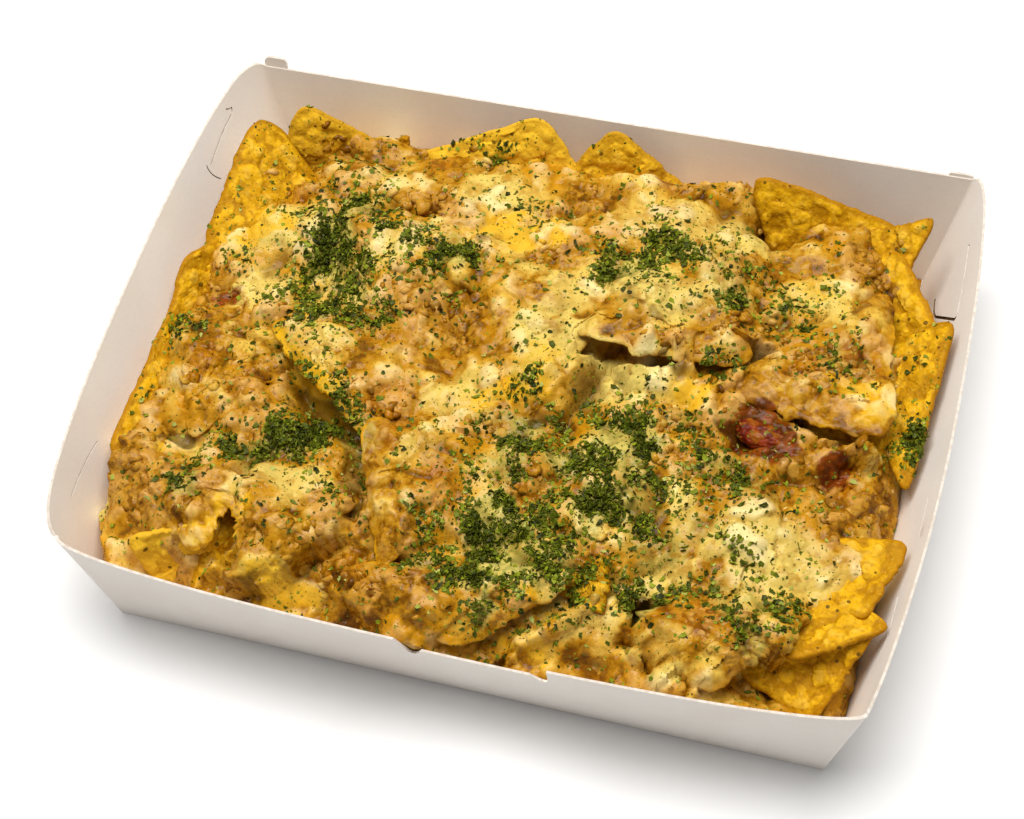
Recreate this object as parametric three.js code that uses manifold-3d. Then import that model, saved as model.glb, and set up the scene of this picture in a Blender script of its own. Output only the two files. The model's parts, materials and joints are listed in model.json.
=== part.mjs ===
// Baked nachos in a folded paperboard tray.
//
// Units are millimetres and +Z is up. The model is laid out round the middle of the tray's rim and is
// then moved so that the origin is at the middle of the tray's underside. X runs along the long side of
// the tray, -Y is its front.
import * as THREE from 'three';
import { mergeVertices } from 'three/addons/utils/BufferGeometryUtils.js';
import Module from 'manifold-3d';

const wasm = await Module();
wasm.setup();

// ---------------------------------------------------------------- driving dimensions
const BOARD = 0.7; // thickness of the paperboard
const WALL_HEIGHT = 42; // rim above the ground at the four corners
const SIDE_ARCH = 3.8; // how much higher the two side walls are in their middle
const FLOOR = { halfWidth: 105.6, front: -90.2, back: 80.5 };
const RIM = { halfWidth: 115, front: -89.8, back: 90.6 };
const BOW = { left: 9.4, right: 6.8, front: 8.0 }; // how far the rim bulges, the back is straight
const LIP_DROP = 6.2; // the middle of the front rim is cut this much lower
const LIP = { left: -6, right: 29.5 }; // from x to x
const SLIT = 0.6; // width of the cut round the side wall's tab

const CHIP_THICKNESS = 1.9;
const CHEESY_THICKNESS = 4.0; // a chip with the melted cheese on it
const GAP = 0.3; // between pieces that touch

const CROWN_EDGE = 30; // height of the heap along the walls
const CROWN_RISE = 14; // and how much higher it is in the middle
const LUMP_COUNT = 72; // clumps of minced meat baked into the cheese
const FLAKE_COUNT = 96; // pinches of parsley large enough to stand proud

// ---------------------------------------------------------------- helpers
const FIRST_SEED = 20817;
let seed = FIRST_SEED;
function random() {
  seed = (seed * 48271) % 2147483647;
  return seed / 2147483647;
}

const between = (low, high) => low + (high - low) * random();

// A closed solid from a three.js geometry: shared vertices merged, empty triangles at a pole left out,
// and all triangles turned if they faced inwards.
function solid(geometry) {
  const bare = geometry.clone();
  bare.deleteAttribute('normal');
  bare.deleteAttribute('uv');
  const merged = mergeVertices(bare, 1e-4);
  const corners = Array.from(merged.index.array);
  const triangles = [];
  for (let i = 0; i < corners.length; i += 3) {
    const [a, b, c] = corners.slice(i, i + 3);
    if (a !== b && b !== c && c !== a) {
      triangles.push(a, b, c);
    }
  }
  const vertProperties = Float32Array.from(merged.attributes.position.array);
  const asSolid = (triVerts) => new wasm.Manifold(new wasm.Mesh({ numProp: 3, vertProperties, triVerts }));
  const body = asSolid(Uint32Array.from(triangles));
  return body.volume() > 0 ? body : asSolid(Uint32Array.from(triangles.reverse()));
}

function geometryOf(body) {
  const mesh = body.getMesh();
  const geometry = new THREE.BufferGeometry();
  geometry.setAttribute('position', new THREE.BufferAttribute(mesh.vertProperties, 3));
  geometry.setIndex(new THREE.BufferAttribute(mesh.triVerts, 1));
  return geometry;
}

// Cutting may leave loose scraps, and only the largest body is kept.
function largest(body) {
  const bodies = body.decompose();
  return bodies.reduce((best, next) => (next.volume() > best.volume() ? next : best));
}

// A lathe whose points are then placed one by one: place(turn, ring), with turn from 0 to 1.
function shapedLathe(rings, segments, place) {
  const profile = [];
  for (let ring = 0; ring < rings; ring++) {
    const onAxis = ring === 0 || ring === rings - 1;
    profile.push(new THREE.Vector2(onAxis ? 0 : 1, ring));
  }
  const geometry = new THREE.LatheGeometry(profile, segments);
  const position = geometry.attributes.position;
  for (let step = 0; step <= segments; step++) {
    for (let ring = 0; ring < rings; ring++) {
      const point = place((step % segments) / segments, ring);
      position.setXYZ(step * rings + ring, point.x, point.y, point.z);
    }
  }
  return geometry;
}

// ---------------------------------------------------------------- the tray's walls
// The outline of the walls, counter-clockwise from the front right corner. Height is 0 at the floor
// and 1 at the rim; above that the walls go on in the same slope.
function wallPoint(turn, height, inset) {
  const side = Math.floor(turn * 4) % 4;
  const along = -Math.cos(Math.PI * (turn * 4 - Math.floor(turn * 4)));
  const halfWidth = THREE.MathUtils.lerp(FLOOR.halfWidth, RIM.halfWidth, height) - inset;
  const front = THREE.MathUtils.lerp(FLOOR.front, RIM.front, height) + inset;
  const back = THREE.MathUtils.lerp(FLOOR.back, RIM.back, height) - inset;
  const middle = (front + back) / 2;
  const halfDepth = (back - front) / 2;
  const round = Math.sqrt(Math.max(0, 1 - Math.abs(along) ** 2.3));
  const flat = 1 - along * along;
  if (side === 0) {
    const bulge = along > 0 ? round : flat;
    return new THREE.Vector2(halfWidth + BOW.right * bulge * height, middle + along * halfDepth);
  }
  if (side === 1) {
    return new THREE.Vector2(-along * halfWidth, back);
  }
  if (side === 2) {
    return new THREE.Vector2(-halfWidth - BOW.left * round * height, middle - along * halfDepth);
  }
  return new THREE.Vector2(along * halfWidth, front - BOW.front * round * height);
}

// Height of the rim: level along the front and the back, arched with round ends on the two sides.
function rimHeight(turn) {
  const side = Math.floor(turn * 4) % 4;
  if (side % 2 === 1) {
    return WALL_HEIGHT;
  }
  const along = Math.abs(Math.cos(Math.PI * (turn * 4 - Math.floor(turn * 4))));
  const end = Math.max(0, (along - 0.84) / 0.16);
  return WALL_HEIGHT + SIDE_ARCH * Math.sqrt(Math.max(0, 1 - end * end));
}

// The space between the walls as a solid, from well above the rim down to the floor.
function cavity(inset) {
  const top = WALL_HEIGHT * 1.8;
  return solid(shapedLathe(5, 72, (turn, ring) => {
    const z = [top, top, rimHeight(turn), BOARD + inset, BOARD + inset][ring];
    if (ring === 0 || ring === 4) {
      return new THREE.Vector3(0, 0, z);
    }
    const edge = wallPoint(turn, z / WALL_HEIGHT, BOARD + inset);
    return new THREE.Vector3(edge.x, edge.y, z);
  }));
}

// ---------------------------------------------------------------- the tray
function trayShell() {
  const centre = (FLOOR.front + FLOOR.back) / 2;
  return solid(shapedLathe(6, 72, (turn, ring) => {
    const inner = ring > 2;
    const atRim = ring === 2 || ring === 3;
    if (ring === 0 || ring === 5) {
      return new THREE.Vector3(0, centre, inner ? BOARD : 0);
    }
    const z = atRim ? rimHeight(turn) : (inner ? BOARD : 0);
    const edge = wallPoint(turn, z / WALL_HEIGHT, inner ? BOARD : 0);
    return new THREE.Vector3(edge.x, edge.y, z);
  }));
}

// A flat shape in the XZ plane pushed along Y, from y = from to y = to.
function plateAlongY(shape, from, to) {
  const geometry = new THREE.ExtrudeGeometry(shape, { depth: to - from, bevelEnabled: false });
  geometry.rotateX(Math.PI / 2);
  geometry.translate(0, to, 0);
  return geometry;
}

// What is cut from the front rim: a long shallow step with a deeper round notch at each end.
function frontLipCutter() {
  const above = WALL_HEIGHT + 10;
  const lip = WALL_HEIGHT - LIP_DROP;
  const notchDepth = 4.6;
  const outline = new THREE.Shape();
  outline.moveTo(LIP.left - 6.2, above);
  outline.lineTo(LIP.left - 6.2, WALL_HEIGHT);
  outline.lineTo(LIP.left - 3.4, lip - notchDepth + 0.8);
  outline.quadraticCurveTo(LIP.left - 2.2, lip - notchDepth - 0.6, LIP.left - 0.8, lip - notchDepth + 1.2);
  outline.lineTo(LIP.left + 0.8, lip);
  outline.lineTo(LIP.right - 4.2, lip - 0.4);
  outline.quadraticCurveTo(LIP.right - 1.6, lip - notchDepth - 0.4, LIP.right, lip - notchDepth);
  outline.lineTo(LIP.right + 0.8, lip - 2);
  outline.lineTo(LIP.right + 1.2, WALL_HEIGHT);
  outline.lineTo(LIP.right + 1.2, above);
  outline.closePath();
  return solid(plateAlongY(outline, RIM.front - 20, RIM.front + 6));
}

// The side walls' ends are folded round the back wall and show as two round ears behind its rim.
function backEar(sign, rise) {
  const lean = Math.atan2(RIM.back - FLOOR.back, WALL_HEIGHT);
  const slope = WALL_HEIGHT / Math.cos(lean);
  const width = 8;
  const top = slope + rise;
  const ear = new THREE.Shape();
  ear.moveTo(sign * (FLOOR.halfWidth - 0.4), 1.5);
  ear.lineTo(sign * RIM.halfWidth, slope);
  ear.quadraticCurveTo(sign * (RIM.halfWidth + 0.4), top, sign * (RIM.halfWidth - 2.5), top);
  ear.lineTo(sign * (RIM.halfWidth - width + 1.2), top);
  ear.quadraticCurveTo(sign * (RIM.halfWidth - width), top, sign * (RIM.halfWidth - width), slope - 2);
  ear.lineTo(sign * (FLOOR.halfWidth - width), 1.5);
  ear.closePath();
  const geometry = plateAlongY(ear, -BOARD / 2, BOARD);
  geometry.rotateX(-lean);
  geometry.translate(0, FLOOR.back, 0);
  return solid(geometry);
}

// A half-open tab in the right wall: a thin U-shaped cut, its open end towards the back.
function sideTabCutter() {
  const upper = { y: 69, z: 37.8 };
  const corner = { y: 43.6, z: 33.2 };
  const lower = { y: 53.5, z: 18.8 };
  const path = new THREE.Path();
  path.moveTo(upper.y, upper.z);
  path.lineTo(corner.y + 5, corner.z + 2.8);
  path.quadraticCurveTo(corner.y - 0.6, corner.z + 2.2, corner.y, corner.z);
  path.lineTo(lower.y, lower.z);
  path.quadraticCurveTo(lower.y + 2.4, lower.z - 3, lower.y + 9, lower.z - 3.2);
  const middle = path.getPoints(4);
  const sides = [1, -1].map((sign) => middle.map((point, i) => {
    const before = middle[Math.max(0, i - 1)];
    const after = middle[Math.min(middle.length - 1, i + 1)];
    const across = after.clone().sub(before).normalize().rotateAround(new THREE.Vector2(), Math.PI / 2);
    return point.clone().addScaledVector(across, sign * SLIT / 2);
  }));
  const outline = new THREE.Shape([...sides[0], ...sides[1].reverse()]);
  const geometry = new THREE.ExtrudeGeometry(outline, { depth: 30, bevelEnabled: false });
  geometry.rotateX(Math.PI / 2);
  geometry.rotateZ(Math.PI / 2);
  geometry.translate(FLOOR.halfWidth - 6, 0, 0);
  return solid(geometry);
}

function trayBody() {
  return trayShell()
    .subtract(frontLipCutter())
    .subtract(sideTabCutter())
    .add(backEar(-1, 3.4))
    .add(backEar(1, 1.0));
}

// ---------------------------------------------------------------- the heap's surface
// Rises and hollows of the baked top: middle, reach along x and y, turn in degrees, rise in mm.
const RELIEF = [
  { at: [40, 32], reach: [30, 22], turn: 0, rise: 2.5 }, // melted cheese over the back right
  { at: [75, -48], reach: [26, 16], turn: 0, rise: 3.5 }, // pale plateau at the front right
  { at: [-88, 27], reach: [16, 14], turn: 0, rise: 2 }, // yellow pool at the left
  { at: [-104, -58], reach: [9, 12], turn: 0, rise: 6 }, // meat at the front left corner
  { at: [15, -45], reach: [16, 12], turn: 0, rise: 3 },
  { at: [84, 20], reach: [14, 12], turn: 0, rise: 3 },
  { at: [-56, -30], reach: [21, 6], turn: -27, rise: -9 }, // shadowy gap below the long chip
  { at: [-96, -47], reach: [9, 4], turn: -10, rise: -7 },
  { at: [-71, -70], reach: [4, 10], turn: 0, rise: -12 }, // gap between the two front left chips
  { at: [60, 63], reach: [5, 5], turn: 0, rise: -13 }, // round hole beside the back right chip
  { at: [37, 4], reach: [11, 5], turn: 0, rise: -9 }, // under the draped cheese
  { at: [61, 13], reach: [9, 4], turn: 10, rise: -8 },
  { at: [88, -3], reach: [12, 4], turn: -8, rise: -8 }, // under the right chip
  { at: [68, -12], reach: [9, 5], turn: 0, rise: -5 }, // open sauce
  { at: [-70, 24], reach: [5, 16], turn: 0, rise: -5 },
  { at: [-88, 58], reach: [10, 7], turn: 0, rise: -6 },
  { at: [-1, 57], reach: [4, 8], turn: 0, rise: -5 },
  { at: [38, 72], reach: [16, 8], turn: 0, rise: 4 },
  { at: [-39, -62], reach: [4, 20], turn: 0, rise: -7 }, // left of the front middle chips
  { at: [50, -72], reach: [6, 8], turn: 0, rise: -6 },
  { at: [106, 38], reach: [6, 11], turn: 0, rise: -9 },
  { at: [-86, -90], reach: [11, 8], turn: 0, rise: -12 }, // before the curled chip
  { at: [104, -84], reach: [14, 10], turn: 0, rise: -9 }, // bare corner chip lies deep
  { at: [116, -64], reach: [6, 18], turn: 0, rise: -7 },
];

function crown(x, y) {
  const across = Math.max(0, 1 - Math.abs(x / 118) ** 3);
  const along = Math.max(0, 1 - Math.abs((y + 2) / 92) ** 3);
  return CROWN_EDGE + CROWN_RISE * across * along;
}

function heapHeight(x, y) {
  let height = crown(x, y);
  for (const { at, reach, turn, rise } of RELIEF) {
    const angle = THREE.MathUtils.degToRad(turn);
    const dx = x - at[0];
    const dy = y - at[1];
    const u = (dx * Math.cos(angle) + dy * Math.sin(angle)) / reach[0];
    const v = (-dx * Math.sin(angle) + dy * Math.cos(angle)) / reach[1];
    height += rise * Math.exp(-(u * u + v * v));
  }
  // It slopes down to the walls, most of all in the corners.
  height -= 1.3 * Math.max(0, y - 72 - 0.07 * Math.max(0, x));
  height -= 1.2 * Math.max(0, x - 104);
  height -= 0.9 * Math.max(0, -108 - x);
  height -= 2.2 * Math.max(0, -x * 0.8 - y * 0.6 - 135);
  height -= 1.1 * Math.max(0, -x * 0.8 + y * 0.6 - 122);
  // The back right corner of the tray stays empty down to the floor.
  const corner = x * 0.77 + y * 0.64;
  height -= 3.2 * Math.max(0, corner - 109);
  return Math.max(height, -10);
}

// ---------------------------------------------------------------- chips
// Where the points of a chip's edge lie, in degrees from one corner towards the next.
const EDGE_POINTS = { large: [-5, 5, 33, 60, 87], small: [-10, 10, 60] };
const LARGE_CHIP = 14; // from the middle to a corner

// A tortilla chip: a thin plate on three corners, with blunt corners, bulging edges, a bend and
// uneven blisters. The corners are in mm in the tray's frame. `bend` is how far the middle stands out,
// `round` is lower for rounder corners, `grow` makes the same chip larger all round, and the same
// `serial` gives the same blisters.
function chipBody(chip, thickness, grow, serial) {
  const [a, b, c] = chip.corners.map((corner) => new THREE.Vector3(...corner));
  const middle = a.clone().add(b).add(c).divideScalar(3);
  const normal = b.clone().sub(a).cross(c.clone().sub(a)).normalize();
  const upward = normal.z < 0 ? -1 : 1;
  normal.multiplyScalar(upward);
  const size = (a.distanceTo(middle) + b.distanceTo(middle) + c.distanceTo(middle)) / 3;
  const half = thickness / 2 + grow;
  seed = FIRST_SEED + 77 * serial;
  const power = chip.round ?? 6;
  const blister = chip.blister ?? 0.2 + 0.15 * thickness;
  const fullness = 0.5 * 2 ** (1 / power); // the edge would just reach the three corners
  const edgePoints = size > LARGE_CHIP ? EDGE_POINTS.large : EDGE_POINTS.small;
  const segments = edgePoints.length * 3;
  const uneven = Array.from({ length: segments * 2 }, () => between(-1, 1) * blister);
  return solid(shapedLathe(5, segments, (turn, ring) => {
    // rings: middle of the underside, its edge, edge of the top, half way in, middle of the top
    const step = Math.round(turn * segments);
    const corner = 90 + 120 * Math.floor(step / edgePoints.length);
    const angle = THREE.MathUtils.degToRad(corner + edgePoints[step % edgePoints.length]);
    const level = [0, 1, 1, 0.58, 0][ring];
    let sum = 0;
    for (const edge of [Math.PI / 6, Math.PI * 5 / 6, Math.PI * 3 / 2]) {
      sum += Math.max(0, Math.cos(angle - edge)) ** power;
    }
    const radius = fullness / sum ** (1 / power) * level;
    const u = radius * Math.cos(angle);
    const v = radius * Math.sin(angle);
    // u and v lie in the plane of a triangle with corners (0, 1), (-0.866, -0.5) and (0.866, -0.5)
    const shareA = (v + 0.5) / 1.5;
    const shareC = (u / 0.866 + 1 - shareA) / 2;
    const shareB = 1 - shareA - shareC;
    const point = a.clone().multiplyScalar(shareA);
    point.addScaledVector(b, shareB);
    point.addScaledVector(c, shareC);
    const outward = point.clone().sub(middle);
    if (level > 0) {
      point.addScaledVector(outward.normalize(), grow * level);
    }
    const bump = level === 1 ? uneven[step] : (level > 0 ? uneven[step + segments] : 0);
    const bent = (chip.bend ?? 0) * (1 - (radius * Math.cos(angle - (chip.bendTurn ?? 0)) / 0.6) ** 2);
    return point.addScaledVector(normal, (ring > 1 ? half : -half) + bump + bent * size / 30);
  }));
}

// Bare chips that stand along the walls or stick out of the heap.
const BARE_CHIPS = {
  chip_left_tall: { corners: [[-107.5, 65, 44.5], [-109, 20, 36], [-72, 44, 18]], bend: 3, round: 3 },
  chip_back_left: { corners: [[-95, 73.6, 46], [-109, 59, 9], [-53, 77.5, 12]], bend: 1 },
  chip_back_shard: { corners: [[-61, 75.3, 37], [-75, 71, 31], [-64, 66, 20]], bend: 1, blister: 0.2 },
  chip_back_middle: { corners: [[-19, 83.7, 46], [-58, 76, 24], [0.5, 75.6, 12]], bend: 2, round: 5 },
  chip_back_centre: { corners: [[5, 85, 45], [-19.5, 75, 13], [33.7, 82, 13]], bend: 2 },
  chip_back_right: { corners: [[51.5, 75, 45], [98, 70, 33.5], [71, 50, 8]], bend: 2, round: 3.5 },
  chip_corner_tip: { corners: [[105.5, 72.4, 42], [82, 67.4, 32], [95.5, 44, 22]], bend: -1 },
  chip_right_high: { corners: [[98, 64, 34], [115.6, 31.5, 36], [82.5, 46, 14]], bend: 2, round: 5 },
  chip_right_long: { corners: [[118, 34.7, 42], [92.4, 32, 28], [112.3, -16.3, 33]], bend: 1.5 },
  chip_right_low: { corners: [[115.6, -36.6, 41], [108.6, -61.3, 37], [74, -40, 30]], bend: -1.5 },
  chip_right_lowest: { corners: [[115, -61.6, 40], [92, -77.6, 37], [77.3, -40.3, 30]], bend: -1.5 },
  chip_front_corner: { corners: [[112, -62.2, 35], [101, -89.5, 20], [65, -71.6, 25]], bend: 1 },
  chip_left_middle: { corners: [[-115.2, 13, 39], [-99, 40.4, 27], [-113.8, -14, 30]], bend: 1 },
  chip_left_long: { corners: [[-112, -6.7, 38], [-112, -56.3, 37], [-94.5, -37, 18]], bend: 1.5, round: 4 },
  chip_front_curl: { corners: [[-96, -82.5, 38.5], [-72, -74, 39.5], [-84, -89.5, 5]], bend: 2.5 },
  chip_front_strip: { corners: [[-74, -64.6, 38], [-76.7, -90, 28], [-61, -80.4, 14]], bend: 1 },
  chip_under_right: { corners: [[104.5, -1, 38], [79, 1, 33], [103.5, -18, 24]], bend: 0.5 },
  chip_front_small: { corners: [[38.8, -60.8, 44], [26.4, -71.8, 39], [41, -75.7, 38]], blister: 0.3 },
};

// Chips under melted cheese, lying on top of the heap with their edges free.
const CHEESY_CHIPS = {
  cheesy_chip_high_left: { corners: [[-63, 33, 46], [-16, 24.6, 47], [-45.4, -1, 45]], bend: 2 },
  cheesy_chip_long_left: { corners: [[-77, -10.5, 46.5], [-32, -40.8, 46], [-38.5, 9, 43]], bend: 1.5 },
  cheesy_chip_centre: { corners: [[-27, 33, 44], [19, 17, 48.5], [3, -24, 47]], bend: 1, round: 4 },
  cheesy_chip_middle_right: { corners: [[13.6, 3.5, 50], [62.6, 8.7, 47], [35.5, 49.7, 45]], bend: 2.5 },
  cheesy_chip_right: { corners: [[104.4, -6, 43], [59, 1, 43], [96, 44.8, 39]], bend: 1 },
  cheesy_chip_low_left: { corners: [[-102.3, -11.5, 40], [-90, -46, 39], [-68.8, -13.6, 36]], bend: 2 },
  cheesy_chip_front_left: { corners: [[-67.3, -60.2, 43], [-77, -83.3, 41], [-106.5, -51.6, 37]], bend: 2 },
  cheesy_chip_front_draped: { corners: [[-71, -61, 44], [-59, -87.8, 42], [-34.6, -60.3, 45]], bend: 2 },
  cheesy_chip_front_middle: { corners: [[-38.2, -36.5, 46], [-3.7, -34.4, 47], [-22, -77.4, 43]], bend: 2 },
  cheesy_chip_front_wide: { corners: [[31, -68.5, 45], [-31, -79, 42], [4, -95.5, 38.5]], bend: 1.5 },
  cheesy_chip_front_right: { corners: [[90.6, -67, 43], [75, -90.5, 38.5], [50.7, -74.3, 43]], bend: 2 },
};

// ---------------------------------------------------------------- small things fused to the heap
// A repeatable unevenness between -1 and 1 for a place on the surface.
function unevenness(x, y) {
  const scattered = Math.sin(x * 12.9898 + y * 78.233) * 43758.5453;
  return 2 * (scattered - Math.floor(scattered)) - 1;
}

// A clump of mince: an uneven ball pressed into the surface.
function lump(radius) {
  const geometry = mergeVertices(new THREE.IcosahedronGeometry(radius, 0).deleteAttribute('normal'));
  geometry.scale(1, between(0.75, 1.1), between(0.6, 0.8));
  geometry.rotateX(between(-0.6, 0.6));
  geometry.rotateZ(between(0, Math.PI * 2));
  return geometry.translate(0, 0, -radius * 0.12);
}

// A parsley flake: a thin scrap of leaf, tilted at random.
function flake(length) {
  const geometry = new THREE.BoxGeometry(length, length * 0.6, 0.6);
  geometry.rotateX(between(-0.5, 0.5));
  geometry.rotateY(between(-0.4, 0.4));
  geometry.rotateZ(between(0, Math.PI * 2));
  return geometry.translate(0, 0, between(0.5, 1));
}

// Where the mince shows and where the parsley lies thickest: middle, spread in mm and share.
const MEAT_PLACES = [
  { at: [-104, -62], spread: [9, 12], share: 8 },
  { at: [-96, -8], spread: [8, 8], share: 4 },
  { at: [-92, -30], spread: [8, 10], share: 4 },
  { at: [64, -2], spread: [9, 5], share: 4 },
  { at: [88, -12], spread: [12, 8], share: 5 },
  { at: [108, -18], spread: [5, 10], share: 4 },
  { at: [92, 50], spread: [6, 8], share: 4 },
  { at: [62, 72], spread: [5, 4], share: 3 },
  { at: [-52, 47], spread: [12, 6], share: 5 },
  { at: [-88, 50], spread: [8, 6], share: 4 },
  { at: [10, -50], spread: [9, 12], share: 5 },
  { at: [34, -58], spread: [9, 8], share: 3 },
  { at: [-48, -80], spread: [8, 7], share: 4 },
  { at: [-20, -86], spread: [12, 5], share: 4 },
  { at: [55, -86], spread: [14, 4], share: 4 },
  { at: [-5, 38], spread: [6, 8], share: 3 },
];

const PARSLEY_PLACES = [
  { at: [-70, 33], spread: [8, 20], share: 14 },
  { at: [-48, 32], spread: [14, 8], share: 7 },
  { at: [-60, 8], spread: [8, 9], share: 5 },
  { at: [35, 42], spread: [22, 9], share: 12 },
  { at: [-58, -38], spread: [16, 7], share: 9 },
  { at: [8, -22], spread: [10, 7], share: 6 },
  { at: [34, -26], spread: [16, 9], share: 9 },
  { at: [62, -24], spread: [10, 5], share: 4 },
  { at: [3, -66], spread: [12, 13], share: 10 },
  { at: [72, -66], spread: [9, 6], share: 4 },
  { at: [-88, -64], spread: [5, 7], share: 4 },
];

// Spots within the places' ellipses, laid out evenly along a sunflower spiral.
function scatter(places, count) {
  const total = places.reduce((sum, place) => sum + place.share, 0);
  const goldenAngle = Math.PI * (3 - Math.sqrt(5));
  return places.flatMap(({ at, spread, share }) => {
    const here = Math.round(count * share / total);
    return Array.from({ length: here }, (_, i) => {
      const distance = Math.sqrt((i + 0.5) / here);
      const angle = i * goldenAngle + at[0];
      return [at[0] + spread[0] * distance * Math.cos(angle), at[1] + spread[1] * distance * Math.sin(angle)];
    });
  });
}

// ---------------------------------------------------------------- the heap
function heapCore() {
  const reach = { x: 121, y: 98 };
  const columns = 33;
  const rows = 26;
  const crags = 1.2; // how far neighbouring points of the baked surface are thrown up and down
  const sway = 1.8; // and sideways
  const geometry = new THREE.BoxGeometry(reach.x * 2, reach.y * 2, 40, columns, rows, 1);
  const position = geometry.attributes.position;
  for (let i = 0; i < position.count; i++) {
    const gridX = position.getX(i);
    const gridY = position.getY(i) - 4;
    const top = position.getZ(i) > 0;
    const x = gridX + (top ? sway * unevenness(gridY, gridX) : 0);
    const y = gridY + (top ? sway * unevenness(gridX + 3, gridY) : 0);
    const z = top ? heapHeight(x, y) + crags * unevenness(gridX, gridY) : -20;
    position.setXYZ(i, x, y, z);
  }
  return solid(geometry);
}

// A soft piece of tomato in the open sauce beside the right-hand chip.
function tomatoBody(grow) {
  const half = { x: 8, y: 4.5, z: 3 };
  const geometry = new THREE.SphereGeometry(1, 12, 6);
  geometry.scale(half.x + grow, half.y + grow, half.z + grow);
  geometry.rotateZ(THREE.MathUtils.degToRad(-12));
  geometry.translate(71, -12, heapHeight(71, -12) + 0.6);
  return solid(geometry);
}

// ---------------------------------------------------------------- putting it together
function material(colour, roughness) {
  return new THREE.MeshStandardMaterial({ color: colour, roughness, metalness: 0 });
}

const BOARD_FINISH = material(0xd8cfc6, 0.75);
const CHIP_FINISH = material(0xe0a21c, 0.7);
const CHEESE_FINISH = material(0xf0d488, 0.45);
const HEAP_FINISH = material(0xdba850, 0.5);
const TOMATO_FINISH = material(0xb03818, 0.35);

// The chips that were laid first stay whole, and each later one is cut where it meets them.
const space = cavity(GAP);
function chipPiece([name, chip], serial) {
  const cheesy = name in CHEESY_CHIPS;
  const thickness = cheesy ? CHEESY_THICKNESS : CHIP_THICKNESS;
  const make = (grow) => chipBody(chip, thickness, grow, serial);
  return { name, make, finish: cheesy ? CHEESE_FINISH : CHIP_FINISH, takesToppings: cheesy };
}

const chips = Object.entries({ ...CHEESY_CHIPS, ...BARE_CHIPS }).map(chipPiece);
const tomato = { name: 'tomato_piece', make: tomatoBody, finish: TOMATO_FINISH, takesToppings: false };
const pieces = [...chips, tomato];
pieces.forEach((piece, i) => {
  piece.grown = piece.make(GAP);
  piece.body = piece.make(0).intersect(space);
  for (const earlier of pieces.slice(0, i)) {
    piece.body = piece.body.subtract(earlier.grown);
  }
  piece.body = largest(piece.body);
});
const heap = { name: 'heap', finish: HEAP_FINISH, takesToppings: true, body: heapCore() };
for (const piece of pieces) {
  heap.body = heap.body.subtract(piece.grown);
}
const food = [...pieces, heap];

// Meat and parsley fall straight down on what lies below them. A spot where one end would land on
// another piece is skipped.
const targets = food.map((piece) => new THREE.Mesh(geometryOf(piece.body), piece.finish));
const falling = new THREE.Raycaster();
function landing(x, y) {
  falling.set(new THREE.Vector3(x, y, WALL_HEIGHT * 2), new THREE.Vector3(0, 0, -1));
  const [hit] = falling.intersectObjects(targets, false);
  return { piece: food[targets.indexOf(hit.object)], z: hit.point.z };
}

function drop(shape, x, y, reach) {
  const here = landing(x, y);
  const round = [0, 1, 2, 3].map((quarter) => {
    const angle = quarter * Math.PI / 2;
    return landing(x + reach * Math.cos(angle), y + reach * Math.sin(angle));
  });
  if (!here.piece.takesToppings || round.some((spot) => spot.piece !== here.piece)) {
    return;
  }
  const mean = round.reduce((sum, spot) => sum + spot.z, here.z) / (round.length + 1);
  let body = solid(shape.translate(x, y, mean));
  for (const other of pieces) {
    if (other !== here.piece) {
      body = body.subtract(other.grown);
    }
  }
  here.piece.body = here.piece.body.add(body);
}

seed = FIRST_SEED;
for (const [x, y] of scatter(MEAT_PLACES, LUMP_COUNT)) {
  const radius = between(3, 5);
  drop(lump(radius), x, y, radius);
}
for (const [x, y] of scatter(PARSLEY_PLACES, FLAKE_COUNT)) {
  const length = between(3.2, 5);
  drop(flake(length), x, y, length / 2);
}

const nachos = new THREE.Group();

function place(name, body, finish) {
  const mesh = new THREE.Mesh(geometryOf(body), finish);
  mesh.name = name;
  nachos.add(mesh);
}

place('tray', trayBody(), BOARD_FINISH);
for (const { name, body, finish } of food) {
  place(name, largest(body.intersect(space)), finish);
}

// The origin goes to the middle of the tray's underside.
const footprint = new THREE.Box3().setFromObject(nachos);
const centre = footprint.getCenter(new THREE.Vector3());
nachos.position.set(-centre.x, -centre.y, -footprint.min.z);

export default nachos;
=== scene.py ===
# %% [markdown]
# Baked nachos in a paperboard tray
#
# The measured model gives the tray, the heap and every chip that can be told apart. This lesson
# dresses them: chips with blisters and toasted spots, cheese that has melted over them, clumps of
# mince and a thick strewing of dried parsley.

# %% The measured frame
import json
import math
import random

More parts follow.
